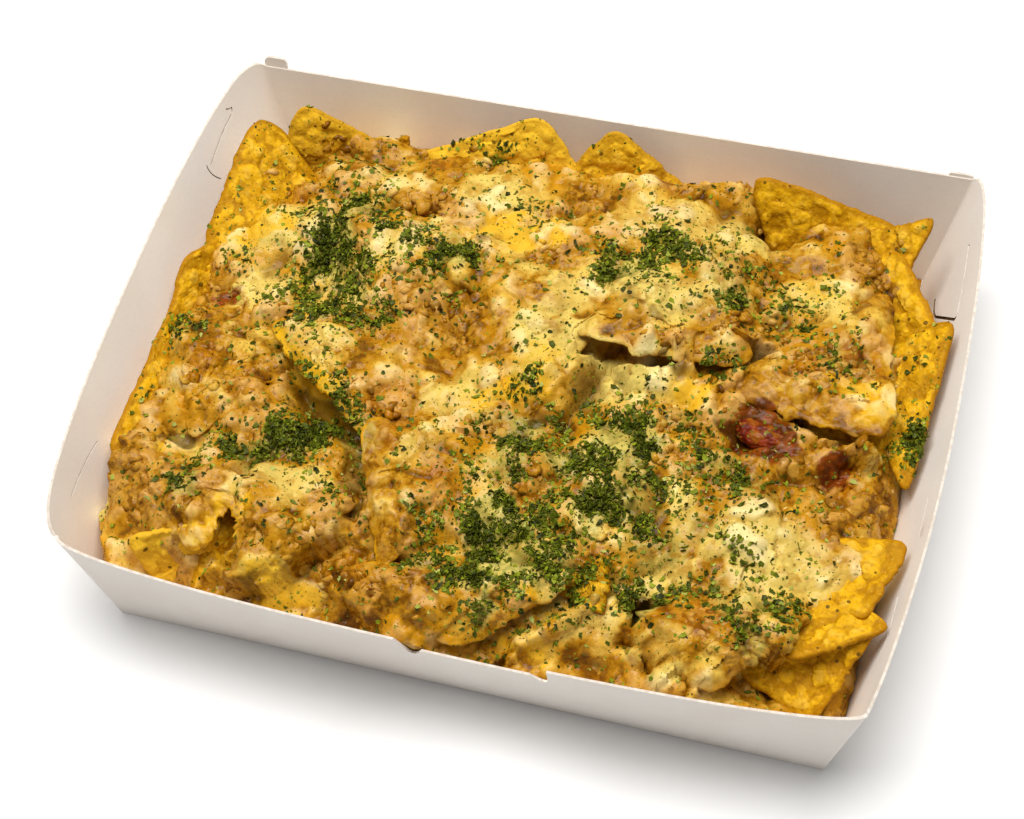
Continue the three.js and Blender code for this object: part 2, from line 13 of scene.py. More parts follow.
import bmesh
import bpy
import numpy as np
from mathutils import Matrix, Vector
from mathutils.bvhtree import BVHTree
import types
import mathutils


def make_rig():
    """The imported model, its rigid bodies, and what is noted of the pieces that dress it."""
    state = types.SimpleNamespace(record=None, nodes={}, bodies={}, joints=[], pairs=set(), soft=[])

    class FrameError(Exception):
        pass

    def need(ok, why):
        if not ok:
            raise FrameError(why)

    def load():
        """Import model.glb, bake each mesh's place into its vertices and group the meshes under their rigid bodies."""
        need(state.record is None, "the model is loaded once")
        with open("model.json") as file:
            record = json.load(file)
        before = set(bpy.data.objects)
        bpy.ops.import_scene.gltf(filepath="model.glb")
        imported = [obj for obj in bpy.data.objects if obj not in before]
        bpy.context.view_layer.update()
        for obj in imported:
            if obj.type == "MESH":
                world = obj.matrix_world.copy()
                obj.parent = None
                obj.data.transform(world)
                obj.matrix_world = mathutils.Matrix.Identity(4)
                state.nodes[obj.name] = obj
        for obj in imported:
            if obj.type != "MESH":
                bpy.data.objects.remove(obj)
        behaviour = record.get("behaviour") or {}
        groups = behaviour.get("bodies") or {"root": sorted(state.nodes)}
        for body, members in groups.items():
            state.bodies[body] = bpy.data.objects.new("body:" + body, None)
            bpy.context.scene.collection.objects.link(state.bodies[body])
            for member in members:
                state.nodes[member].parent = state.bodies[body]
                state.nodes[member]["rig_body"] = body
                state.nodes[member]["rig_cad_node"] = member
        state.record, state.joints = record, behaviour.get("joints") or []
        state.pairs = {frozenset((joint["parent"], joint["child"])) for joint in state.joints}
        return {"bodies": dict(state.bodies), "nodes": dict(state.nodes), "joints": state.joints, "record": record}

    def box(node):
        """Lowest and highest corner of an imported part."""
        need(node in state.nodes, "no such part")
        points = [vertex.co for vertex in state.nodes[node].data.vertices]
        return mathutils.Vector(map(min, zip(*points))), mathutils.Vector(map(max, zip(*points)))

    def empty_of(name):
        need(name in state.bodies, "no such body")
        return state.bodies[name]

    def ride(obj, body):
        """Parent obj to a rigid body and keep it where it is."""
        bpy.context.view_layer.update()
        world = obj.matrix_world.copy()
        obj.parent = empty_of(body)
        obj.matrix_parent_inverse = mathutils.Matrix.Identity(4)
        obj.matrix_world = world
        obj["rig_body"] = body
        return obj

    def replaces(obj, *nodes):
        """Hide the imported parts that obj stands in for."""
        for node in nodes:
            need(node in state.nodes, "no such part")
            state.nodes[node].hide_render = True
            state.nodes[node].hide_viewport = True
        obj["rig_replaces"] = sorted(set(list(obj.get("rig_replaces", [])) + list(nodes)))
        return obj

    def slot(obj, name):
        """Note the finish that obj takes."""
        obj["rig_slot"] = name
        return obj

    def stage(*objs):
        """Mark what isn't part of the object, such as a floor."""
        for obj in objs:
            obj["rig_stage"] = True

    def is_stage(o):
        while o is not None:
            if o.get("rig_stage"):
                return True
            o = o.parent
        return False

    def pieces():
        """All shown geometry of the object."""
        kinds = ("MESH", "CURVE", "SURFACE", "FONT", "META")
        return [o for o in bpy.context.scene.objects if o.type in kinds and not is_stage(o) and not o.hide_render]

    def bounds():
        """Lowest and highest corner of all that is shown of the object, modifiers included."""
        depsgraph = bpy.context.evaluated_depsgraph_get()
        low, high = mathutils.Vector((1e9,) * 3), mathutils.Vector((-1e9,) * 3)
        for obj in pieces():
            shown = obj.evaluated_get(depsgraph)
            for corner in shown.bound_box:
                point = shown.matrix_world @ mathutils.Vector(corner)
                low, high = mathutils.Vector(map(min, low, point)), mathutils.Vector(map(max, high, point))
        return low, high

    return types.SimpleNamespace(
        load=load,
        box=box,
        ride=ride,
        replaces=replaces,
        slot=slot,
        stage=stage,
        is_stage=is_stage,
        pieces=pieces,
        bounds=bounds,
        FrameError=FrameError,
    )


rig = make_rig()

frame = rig.load()
CAD_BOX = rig.bounds()
MM = 0.001
MIDDLE = np.array([1.42, 2.84, 0.0])  # mm, where the middle of the tray's rim lies in the frame
SEED = 20817
print("nodes:", len(frame["nodes"]))

# %% [markdown]
# Meshes and their points
#
# A few helpers serve every piece: they turn an edited shape into a mesh, set an object down at the
# origin, and read, move or mark all the points of a mesh at once.

# %% Mesh helpers
def mesh_from(bm, name):
    mesh = bpy.data.meshes.new(name)
    bm.to_mesh(mesh)
    bm.free()
    return mesh


def linked(name, data):
    thing = bpy.data.objects.new(name, data)
    bpy.context.scene.collection.objects.link(thing)
    return thing


def points_of(mesh):
    """Three arrays, x, y and z."""
    points = np.empty(len(mesh.vertices) * 3)
    mesh.vertices.foreach_get("co", points)
    return points.reshape(-1, 3).T


def in_frame(x, y, z):
    """Places in mm from the middle of the rim, as the frame wants them."""
    return (np.stack([x, y, z]) + MIDDLE[:, None]) * MM


def move_points(mesh, move):
    """Moves every point by a function of three arrays, x, y and z."""
    mesh.vertices.foreach_set("co", np.stack(move(*points_of(mesh)), axis=1).ravel())
    mesh.update()


def store_values(mesh, name, values):
    """Writes one value for each point, where the finishes read it."""
    layer = mesh.attributes.new(name, "FLOAT", "POINT")
    layer.data.foreach_set("value", np.asarray(values, dtype=np.float32))


def shade(mesh, sharp_above):
    mesh.shade_smooth()
    mesh.set_sharp_from_angle(angle=math.radians(sharp_above))


print("middle of the rim (mm):", MIDDLE.tolist())

# %% [markdown]
# The stage
#
# A pale floor under a broad lamp that hangs almost straight above, a little to the back, so that
# the tray throws a short soft shadow to the front. The camera looks down steeply from the front
# right and is rolled a little, as if held by hand above a table.

# %% Floor
def make_floor():
    bm = bmesh.new()
    bmesh.ops.create_grid(bm, x_segments=1, y_segments=1, size=3.0)
    floor = linked("floor", mesh_from(bm, "floor"))
    material = bpy.data.materials.new("white_paper")
    material.use_nodes = True
    shader = material.node_tree.nodes["Principled BSDF"]
    shader.inputs["Base Color"].default_value = (0.93, 0.93, 0.93, 1)
    shader.inputs["Roughness"].default_value = 0.9
    floor.data.materials.append(material)
    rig.stage(floor)
    return floor


print("stage:", make_floor().name)

# %% Light
def make_lamp(name, place, target, size, watts, colour):
    lamp = bpy.data.lights.new(name, "AREA")
    lamp.shape = "RECTANGLE"
    lamp.size, lamp.size_y = size
    lamp.energy = watts
    lamp.color = colour
    holder = linked(name, lamp)
    holder.location = place
    holder.rotation_euler = (Vector(target) - Vector(place)).to_track_quat("-Z", "Y").to_euler()


make_lamp(
    "high_lamp", place=(-0.09, 0.21, 1.30), target=(0, 0, 0), size=(1.25, 0.85), watts=27.0,
    colour=(1.0, 0.985, 0.96),
)

world = bpy.data.worlds.new("studio")
world.use_nodes = True
world.node_tree.nodes["Background"].inputs["Color"].default_value = (1, 1, 1, 1)
world.node_tree.nodes["Background"].inputs["Strength"].default_value = 0.20
bpy.context.scene.world = world
bpy.context.scene.view_settings.view_transform = "Standard"
print("lamps:", [o.name for o in bpy.data.objects if o.type == "LIGHT"])

# %% Camera
CAMERA = {"azimuth": 22.71, "elevation": 57.57, "roll": -8.5, "distance": 600.5, "lens": 70.16}
CAMERA_TARGET = np.array([-5.61, -7.13, 20.0])  # mm, from the middle of the rim


def make_camera():
    azimuth, elevation, roll = (math.radians(CAMERA[k]) for k in ("azimuth", "elevation", "roll"))
    back = Vector((
        math.sin(azimuth) * math.cos(elevation),
        -math.cos(azimuth) * math.cos(elevation),
        math.sin(elevation),
    ))
    right = (-back).cross(Vector((0, 0, 1))).normalized()
    up = right.cross(-back)
    rolled_right = right * math.cos(roll) + up * math.sin(roll)
    rolled_up = up * math.cos(roll) - right * math.sin(roll)
    turn = Matrix((rolled_right, rolled_up, back)).transposed().to_4x4()
    lens = bpy.data.cameras.new("camera")
    lens.lens = CAMERA["lens"]
    lens.sensor_width = 36
    lens.clip_start = 0.01
    camera = linked("camera", lens)
    place = Vector((CAMERA_TARGET + MIDDLE) * MM) + back * CAMERA["distance"] * MM
    camera.matrix_world = Matrix.Translation(place) @ turn
    bpy.context.scene.camera = camera
    return camera


print("camera at", [round(v, 3) for v in make_camera().location])

# %% [markdown]
# Repeatable unevenness
#
# Food is uneven at every size. Three small helpers make all of it: smooth swells, swells laid over
# smaller swells, and rounded cells packed like grains. They work on whole arrays of places in
# millimetres, so that a hundred thousand points take a fraction of a second.

# %% Swells and cells
def scattered(column, row, seed):
    """A repeatable number from 0 to 1 for each whole-numbered place."""
    number = column.astype(np.int64) * 374761393 + row.astype(np.int64) * 668265263 + seed * 69069
    number = ((number ^ (number >> 13)) & 0xFFFFFFFF) * 1274126177 & 0xFFFFFFFF
    return ((number ^ (number >> 16)) & 0xFFFF) / 65535


def swell(x, y, size, seed=0):
    """Smooth rises and falls from -1 to 1, about `size` mm across."""
    turn = seed * 1.7
    u = (x * math.cos(turn) + y * math.sin(turn)) / size
    v = (y * math.cos(turn) - x * math.sin(turn)) / size
    column, row = np.floor(u), np.floor(v)
    u, v = u - column, v - row
    u, v = u * u * (3 - 2 * u), v * v * (3 - 2 * v)
    near = scattered(column, row, seed) * (1 - u) + scattered(column + 1, row, seed) * u
    far = scattered(column, row + 1, seed) * (1 - u) + scattered(column + 1, row + 1, seed) * u
    return 2 * (near * (1 - v) + far * v) - 1


def rough(x, y, size, octaves, seed=0):
    """Swells with smaller swells on them."""
    total = sum(swell(x, y, size / 2**k, seed + k) / 2**k for k in range(octaves))
    return total / 1.5


def cells(x, y, size, seed=0):
    """Distance to the nearest of many scattered middles, 0 there and about 1 half way to the next,
    and a number from 0 to 1 that differs from cell to cell."""
    u, v = x / size, y / size
    column, row = np.floor(u), np.floor(v)
    nearest = np.full(u.shape, 9.0)
    label = np.zeros(u.shape)
    for i in (-1, 0, 1):
        for j in (-1, 0, 1):
            cu = column + i + scattered(column + i, row + j, seed)
            cv = row + j + scattered(column + i, row + j, seed + 1)
            distance = np.hypot(u - cu, v - cv)
            closer = distance < nearest
            nearest = np.where(closer, distance, nearest)
            label = np.where(closer, scattered(column + i, row + j, seed + 2), label)
    return nearest * 1.4, label


def smooth_step(low, high, value):
    t = np.clip((value - low) / (high - low), 0, 1)
    return t * t * (3 - 2 * t)


centre = np.zeros(1)
print("swell of 12 mm at the middle:", round(float(swell(centre, centre, 12)[0]), 3))

# %% [markdown]
# Where everything lies
#
# A baked top is not the same all over: here a pool of plain cheese, there mince in sauce, there a
# drift of parsley. Each kind is a short list of patches, given by their middle, how far they reach
# and how they are turned. Their outlines are pushed about by swells, or they would look like
# stamped ellipses.

# %% Patches of cheese, mince, browning, parsley, tomato and painted shade
# x, y, reach along x, reach along y (mm), turn (degrees), strength
PATCHES = {
    "pale": [
        (-91, 30, 15, 12, 20, 1), (-25, 57, 13, 9, 0, 0.8), (-12, 43, 14, 9, 0, 0.6),
        (35, 55, 28, 10, 0, 0.6), (76, 38, 10, 9, 0, 0.8), (98, 4, 8, 5, 0, 0.4),
        (28, 25, 24, 11, -8, 0.95), (5, 4, 12, 13, 0, 0.9), (28, -2, 12, 9, 0, 0.95),
        (52, -5, 7, 5, 0, 0.5), (-14, -20, 14, 7, 20, 0.6), (-58, -57, 15, 7, 0, 0.9),
        (78, -49, 26, 12, 0, 0.85), (30, -28, 9, 6, 0, 0.9), (-112, -71, 4, 5, 0, 1),
        (13, -70, 8, 6, 0, 0.9), (55, -83, 7, 4, 0, 0.5), (60, -90, 6, 3, 0, 0.8),
        (29, -51, 8, 5, 0, 0.8), (26, -72, 5, 4, 0, 0.8), (53, -62, 8, 6, 0, 0.6),
        (52, -37, 8, 6, 0, 0.7), (36, -79, 6, 4, 0, 0.7), (-53, 20, 7, 7, 0, 0.5),
        (-88, 6, 11, 8, 0, 0.8), (-61, -12, 11, 7, -20, 0.6), (-92, -52, 9, 5, 0, 0.5),
        (8, 20, 9, 8, 0, 0.6), (-22, -41, 10, 8, 0, 0.4), (104, -14, 4, 4, 0, 0.9),
        (-48, -84, 9, 5, 0, 0.8), (-34, 70, 8, 5, 0, 0.5), (49, 56, 9, 7, 0, 0.6),
        (-5, 30, 8, 7, 0, 0.5),
    ],
    "yellow": [
        (-95, 31, 12, 9, 20, 0.9), (-12, 43, 13, 8, 0, 0.9), (-4, -17, 7, 6, 0, 0.9),
        (-60, -23, 23, 5, -38, 0.9), (51, -3, 9, 6, 0, 0.9), (97, 6, 13, 11, 0, 0.7),
        (76, 41, 9, 6, 0, 0.5), (-70, -75, 7, 9, 0, 0.9), (20, -88, 12, 5, 0, 0.7),
        (5, -8, 8, 8, 0, 0.6), (10, -76, 22, 5, 0, 0.5), (-50, -86, 11, 6, 0, 0.9),
        (-100, -52, 8, 5, 0, 0.6),
    ],
    "mince": [
        (-45, 48, 14, 8, 0, 0.9), (-90, 49, 9, 7, 0, 0.9), (-98, 2, 10, 11, 0, 0.9),
        (-88, -27, 13, 12, 0, 0.7), (-74, -22, 8, 7, 0, 0.8), (-101, -62, 11, 15, 0, 1),
        (-38, -80, 8, 8, 0, 0.6), (-22, -42, 11, 10, 0, 0.4), (12, -46, 10, 8, 0, 0.7),
        (30, -58, 10, 7, 0, 0.8), (75, -78, 16, 8, 0, 0.8), (65, -2, 11, 6, 0, 1),
        (103, -20, 10, 12, 0, 1), (90, -14, 12, 8, 0, 0.9), (91, 51, 8, 9, 0, 1),
        (62, 70, 8, 5, 0, 0.9), (33, 73, 8, 4, 0, 0.8), (48, 75, 6, 4, 0, 0.8),
        (-35, 70, 9, 6, 0, 0.8), (0, 60, 10, 8, 0, 0.7), (-4, 36, 7, 7, 0, 0.8),
        (-80, 66, 12, 6, 0, 0.8), (-25, 5, 10, 10, 0, 0.8), (60, 22, 14, 6, 0, 0.6),
        (-18, -84, 14, 6, 0, 0.8), (45, -32, 9, 7, 0, 0.7), (92, -35, 9, 6, 0, 0.8),
        (38, 8, 9, 4, 0, 0.9), (-80, -4, 7, 6, 0, 0.6), (-78, -40, 14, 6, 0, 0.6),
        (92, 28, 8, 7, 0, 0.9), (90, 15, 9, 7, 0, 0.9), (77, 12, 10, 8, 0, 0.7),
        (84, 0, 10, 5, 0, 0.6), (-38, 13, 10, 8, 0, 0.8), (-46, -3, 9, 8, 0, 0.6),
        (-36, -26, 9, 8, 0, 0.9), (49, -14, 9, 6, 0, 0.8), (-77, -70, 7, 6, 0, 0.8),
        (-46, -73, 8, 8, 0, 0.8), (-36, -55, 7, 8, 0, 0.8), (-6, -28, 8, 7, 0, 0.6),
        (100, -42, 6, 7, 0, 0.7),
    ],
    "browned": [
        (-22, -41, 12, 11, 0, 1), (-88, -26, 12, 11, 0, 0.6), (15, 76, 12, 5, 0, 1),
        (-50, 68, 5, 9, 20, 0.9), (-20, 69, 9, 6, 0, 0.7), (45, 60, 20, 7, 0, 0.5),
        (-70, 56, 12, 6, 0, 0.6), (97, 20, 10, 12, 0, 0.5), (0, -50, 16, 9, 0, 0.5),
        (-32, -80, 9, 7, 0, 0.5), (62, -76, 18, 8, 0, 0.8), (-93, 47, 9, 6, 0, 0.8),
        (80, -52, 6, 4, 0, 0.7), (-35, -13, 12, 6, -30, 0.5), (68, 48, 12, 8, 0, 0.4),
        (-30, 50, 9, 7, 0, 0.4), (96, -20, 6, 6, 0, 0.7), (21, 70, 9, 7, 0, 0.9),
        (91, 22, 9, 12, 0, 0.7), (77, 10, 10, 7, 0, 0.5), (-36, -26, 9, 8, 0, 0.6),
        (-37, 10, 9, 9, 0, 0.4),
    ],
    "parsley": [
        (-70, 27, 7, 20, -3, 0.85), (-59, 12, 6, 11, 0, 0.55), (-50, 29, 8, 6, 0, 0.45),
        (-31, 27, 9, 8, 0, 0.7), (-33, 73, 6, 4, 0, 0.4), (-64, 44, 7, 6, 0, 0.25),
        (31, 44, 8, 5, 0, 0.65), (20, 34, 9, 6, 0, 0.65), (45, 42, 13, 7, 0, 0.35),
        (53, 31, 10, 6, 0, 0.55), (90, 15, 8, 7, 0, 0.35), (80, 38, 6, 6, 0, 0.2),
        (92, 26, 6, 6, 0, 0.35), (70, 27, 6, 5, 0, 0.3), (110, -3, 5, 5, 0, 0.9),
        (-106, -13, 5, 7, 0, 0.35), (0, -8, 6, 9, 0, 0.4), (34, -23, 11, 8, 0, 1),
        (22, -34, 8, 6, 0, 0.8), (37, -35, 8, 6, 0, 0.65), (61, -24, 8, 5, 0, 0.5),
        (74, -31, 9, 6, 0, 0.45), (33, -46, 8, 6, 0, 0.85), (43, -46, 8, 6, 0, 0.5),
        (20, -52, 11, 8, 0, 0.25), (7, -28, 7, 7, 0, 0.75), (-6, -27, 7, 6, 0, 0.35),
        (48, -70, 7, 7, 0, 0.7), (36, -70, 6, 6, 0, 0.45), (-66, 1, 9, 6, 0, 0.4),
        (-48, 0, 8, 7, 0, 0.35), (-37, 13, 8, 7, 0, 0.3), (49, -13, 7, 5, 0, 0.35),
        (-37, -44, 6, 8, 0, 0.4), (-52, -27, 9, 4, -27, 0.4), (3, -40, 8, 9, 0, 0.6),
        (51, -55, 8, 6, 0, 0.5), (70, -55, 8, 6, 0, 0.2), (-60, -43, 10, 5, 0, 0.8),
        (-46, -38, 10, 5, 0, 0.4), (-72, -49, 9, 5, 0, 0.5), (-84, -65, 6, 6, 0, 0.6),
        (2, -56, 7, 7, 0, 1), (10, -65, 11, 8, 0, 1), (5, -75, 9, 5, 0, 0.95),
        (12, -84, 5, 5, 0, 0.8), (21, -66, 7, 7, 0, 0.6), (-11, -73, 6, 5, 0, 0.5),
        (76, -66, 9, 6, 0, 0.5), (81, -76, 6, 5, 0, 0.5), (90, -64, 7, 5, 0, 0.15),
        (-40, -60, 8, 9, 0, 0.25), (-10, 50, 9, 7, 0, 0.1), (-88, 42, 8, 7, 0, 0.15),
        (-97, 17, 6, 6, 0, 0.15), (55, 5, 8, 6, 0, 0.25),
    ],
    # Painted shade: dark places in the gaps between chips and below their free edges.
    "shade": [
        (-55, -31, 20, 6, -27, 1), (-95, -48, 6, 3, 0, 1), (-73, -69, 5, 9, 0, 1),
        (60, 62, 4, 4, 0, 1), (37, 2, 9, 5, 0, 1), (33, 16, 4, 3, 0, 0.8), (61, 12, 9, 4, 0, 1),
        (86, -4, 12, 3, -8, 1), (66, -11, 8, 4, 0, 1), (-110, -10, 4, 5, 0, 1),
        (-20, 27, 3, 3, 0, 0.8), (-1, 57, 3, 6, 0, 0.7), (-38, -56, 4, 20, 8, 0.8),
        (49, -70, 6, 6, 0, 1), (36, -71, 5, 5, 0, 0.6), (7, -27, 4, 6, 0, 0.7),
    ],
    "red": [
        (72, -12, 11, 7, -12, 1), (92, -18, 5, 4, 0, 0.7), (-97, 3, 7, 5, 0, 0.6),
        (-90, -12, 5, 4, 0, 0.3),
    ],
}


def turned(x, y, patch):
    """How far a place lies from a patch's middle along its two axes, in shares of its reach."""
    middle_x, middle_y, reach_x, reach_y, turn, _ = patch
    angle = math.radians(turn)
    dx, dy = x - middle_x, y - middle_y
    along = (dx * math.cos(angle) + dy * math.sin(angle)) / reach_x
    across = (dy * math.cos(angle) - dx * math.sin(angle)) / reach_y
    return along, across


def patch_strength(kind, x, y, spread=1.0):
    """How strongly a kind of patch covers each place, 0 to 1. A wide spread gives its outskirts."""
    bent_x = x + 3.2 * swell(x, y, 9, 31) + 1.6 * swell(x, y, 4, 32)
    bent_y = y + 3.2 * swell(x, y, 9, 33) + 1.6 * swell(x, y, 4, 34)
    bare = np.ones(x.shape)
    for patch in PATCHES[kind]:
        away = np.hypot(*turned(bent_x, bent_y, patch))
        bare *= 1 - patch[-1] * smooth_step(1.35 * spread, 0.55, away)
    return 1 - bare


def melt(x, y):
    """How far the cheese has run together and hides the mince, from 0 to 1."""
    drift = 0.5 + 0.45 * rough(x, y, 14, 2, 61) + 0.4 * rough(x, y, 5.5, 3, 64)
    cheese = drift + 0.65 * patch_strength("pale", x, y) + 0.3 * patch_strength("yellow", x, y)
    return smooth_step(0.1, 1.0, cheese - 0.4 * patch_strength("mince", x, y))


def store_patches(mesh, leave_out=()):
    """Writes each kind of patch, and the melt, to the mesh."""
    x, y, _ = points_of(mesh) / MM - MIDDLE[:, None]
    for kind in PATCHES:
        if kind not in leave_out:
            store_values(mesh, kind, patch_strength(kind, x, y))
    store_values(mesh, "melt", melt(x, y))


print("patches:", {kind: len(rows) for kind, rows in PATCHES.items()})

# %% [markdown]
# Finishes
#
# Three small node groups serve all the food. One gives relief finer than the meshes hold, one
# scatters specks of a chosen size, and one gives a soft mottling. The finishes themselves stay
# short: a base colour, what lies over it, and how wet it is.

# %% Node helpers
def linear(code):
    """A colour given as six hexadecimal digits, as the shader wants it."""
    shares = [int(code[i:i + 2], 16) / 255 for i in (0, 2, 4)]
    return tuple(s / 12.92 if s < 0.04045 else ((s + 0.055) / 1.055) ** 2.4 for s in shares) + (1,)


def new_group(name, inputs, outputs):
    group = bpy.data.node_groups.new(name, "ShaderNodeTree")
    for label, kind, value in inputs:
        socket = group.interface.new_socket(label, in_out="INPUT", socket_type="NodeSocket" + kind)
        if value is not None:
            socket.default_value = value
    for label, kind in outputs:
        group.interface.new_socket(label, in_out="OUTPUT", socket_type="NodeSocket" + kind)
    return group, group.nodes.new("NodeGroupInput"), group.nodes.new("NodeGroupOutput")


class Wiring:
    """Adds nodes to a tree and joins them, so that a finish reads from top to bottom."""

    def __init__(self, tree):
        self.tree = tree

    def put(self, socket, value):
        """Joins a socket to another, or gives it a number or a colour's six digits."""
        if isinstance(value, bpy.types.NodeSocket):
            self.tree.links.new(value, socket)
        else:
            socket.default_value = linear(value) if isinstance(value, str) else value

    def math(self, operation, first, second=0.0):
        node = self.tree.nodes.new("ShaderNodeMath")
        node.operation = operation
        self.put(node.inputs[0], first)
        self.put(node.inputs[1], second)
        return node.outputs[0]

    def noise(self, vector, scale, detail=2.0, roughness=0.55):
        node = self.tree.nodes.new("ShaderNodeTexNoise")
        self.put(node.inputs["Vector"], vector)
        self.put(node.inputs["Scale"], scale)
        node.inputs["Detail"].default_value = detail
        node.inputs["Roughness"].default_value = roughness
        return node.outputs["Fac"]

    def voronoi(self, vector, scale):
        node = self.tree.nodes.new("ShaderNodeTexVoronoi")
        self.put(node.inputs["Vector"], vector)
        self.put(node.inputs["Scale"], scale)
        return node

    def ramp(self, value, low, high):
        """0 below low, 1 above high and a soft rise between them."""
        node = self.tree.nodes.new("ShaderNodeMapRange")
        node.interpolation_type = "SMOOTHSTEP"
        self.put(node.inputs["Value"], value)
        self.put(node.inputs["From Min"], low)
        self.put(node.inputs["From Max"], high)
        return node.outputs["Result"]

    def blend(self, share, below, above):
        node = self.tree.nodes.new("ShaderNodeMix")
        node.data_type = "RGBA"
        self.put(node.inputs["Factor"], share)
        self.put(node.inputs["A"], below)
        self.put(node.inputs["B"], above)
        return node.outputs["Result"]

    def tint(self, colour, share, amount, paint):
        """A paint over a colour, by a share of the surface times a fixed amount."""
        return self.blend(self.math("MULTIPLY", share, amount), colour, paint)

    def attribute(self, name):
        node = self.tree.nodes.new("ShaderNodeAttribute")
        node.attribute_name = name
        return node.outputs["Fac"]

    def place(self):
        return self.tree.nodes.new("ShaderNodeTexCoord").outputs["Object"]

    def use(self, group, **values):
        node = self.tree.nodes.new("ShaderNodeGroup")
        node.node_tree = group
        for label, value in values.items():
            self.put(node.inputs[label], value)
        return node.outputs


# %% Shared groups
# Fine relief: soft grains with finer grains on them.
FINE, entry, leave = new_group(
    "fine relief", [("Place", "Vector", None), ("Grain", "Float", 700.0)], [("Height", "Float")]
)
w = Wiring(FINE)
grain = w.noise(entry.outputs["Place"], entry.outputs["Grain"], detail=3)
beads = w.voronoi(entry.outputs["Place"], entry.outputs["Grain"]).outputs["Distance"]
w.put(leave.inputs["Height"], w.math("SUBTRACT", grain, w.math("MULTIPLY", beads, 0.4)))

# Specks: round dots in a share of the cells, each of its own size.
SPECKS, entry, leave = new_group(
    "specks",
    [("Place", "Vector", None), ("Density", "Float", 400.0), ("Share", "Float", 0.3),
     ("Size", "Float", 0.3)],
    [("Mask", "Float"), ("Tone", "Float")],
)
w = Wiring(SPECKS)
dots = w.voronoi(entry.outputs["Place"], entry.outputs["Density"])
split = SPECKS.nodes.new("ShaderNodeSeparateColor")
w.put(split.inputs["Color"], dots.outputs["Color"])
chosen = w.math("LESS_THAN", split.outputs["Red"], entry.outputs["Share"])
reach = w.math("MULTIPLY", entry.outputs["Size"], w.math("ADD", split.outputs["Green"], 0.5))
outside = w.ramp(dots.outputs["Distance"], w.math("MULTIPLY", reach, 0.7), reach)
w.put(leave.inputs["Mask"], w.math("MULTIPLY", chosen, w.math("SUBTRACT", 1.0, outside)))
w.put(leave.inputs["Tone"], split.outputs["Blue"])

# Mottling: broad soft clouds broken up by small ones.
MOTTLE, entry, leave = new_group(
    "mottling", [("Place", "Vector", None), ("Scale", "Float", 150.0)], [("Cloud", "Float")]
)
w = Wiring(MOTTLE)
clouds = w.noise(entry.outputs["Place"], entry.outputs["Scale"], detail=5, roughness=0.65)
w.put(leave.inputs["Cloud"], clouds)
print("shared groups:", [g.name for g in bpy.data.node_groups])

# %% [markdown]
# The baked topping
#
# Cheese, sauce, fat and mince bake into one skin, so the heap, the chips under cheese and the
# loose clumps share this finish. It starts from golden, saucy cheese. The patches then lay pale
# cheese, yellow cheese, mince and browning over it, and small clouds fray every border.

# %% Topping finish
def new_material(name):
    material = bpy.data.materials.new(name)
    material.use_nodes = True
    tree = material.node_tree
    return material, Wiring(tree), tree.nodes["Principled BSDF"]


def set_constants(shader, values):
    for label, value in values.items():
        shader.inputs[label].default_value = value


def add_bump(w, shader, height, distance, strength):
    bump = w.tree.nodes.new("ShaderNodeBump")
    bump.inputs["Distance"].default_value = distance
    bump.inputs["Strength"].default_value = strength
    w.put(bump.inputs["Height"], height)
    w.put(shader.inputs["Normal"], bump.outputs["Normal"])


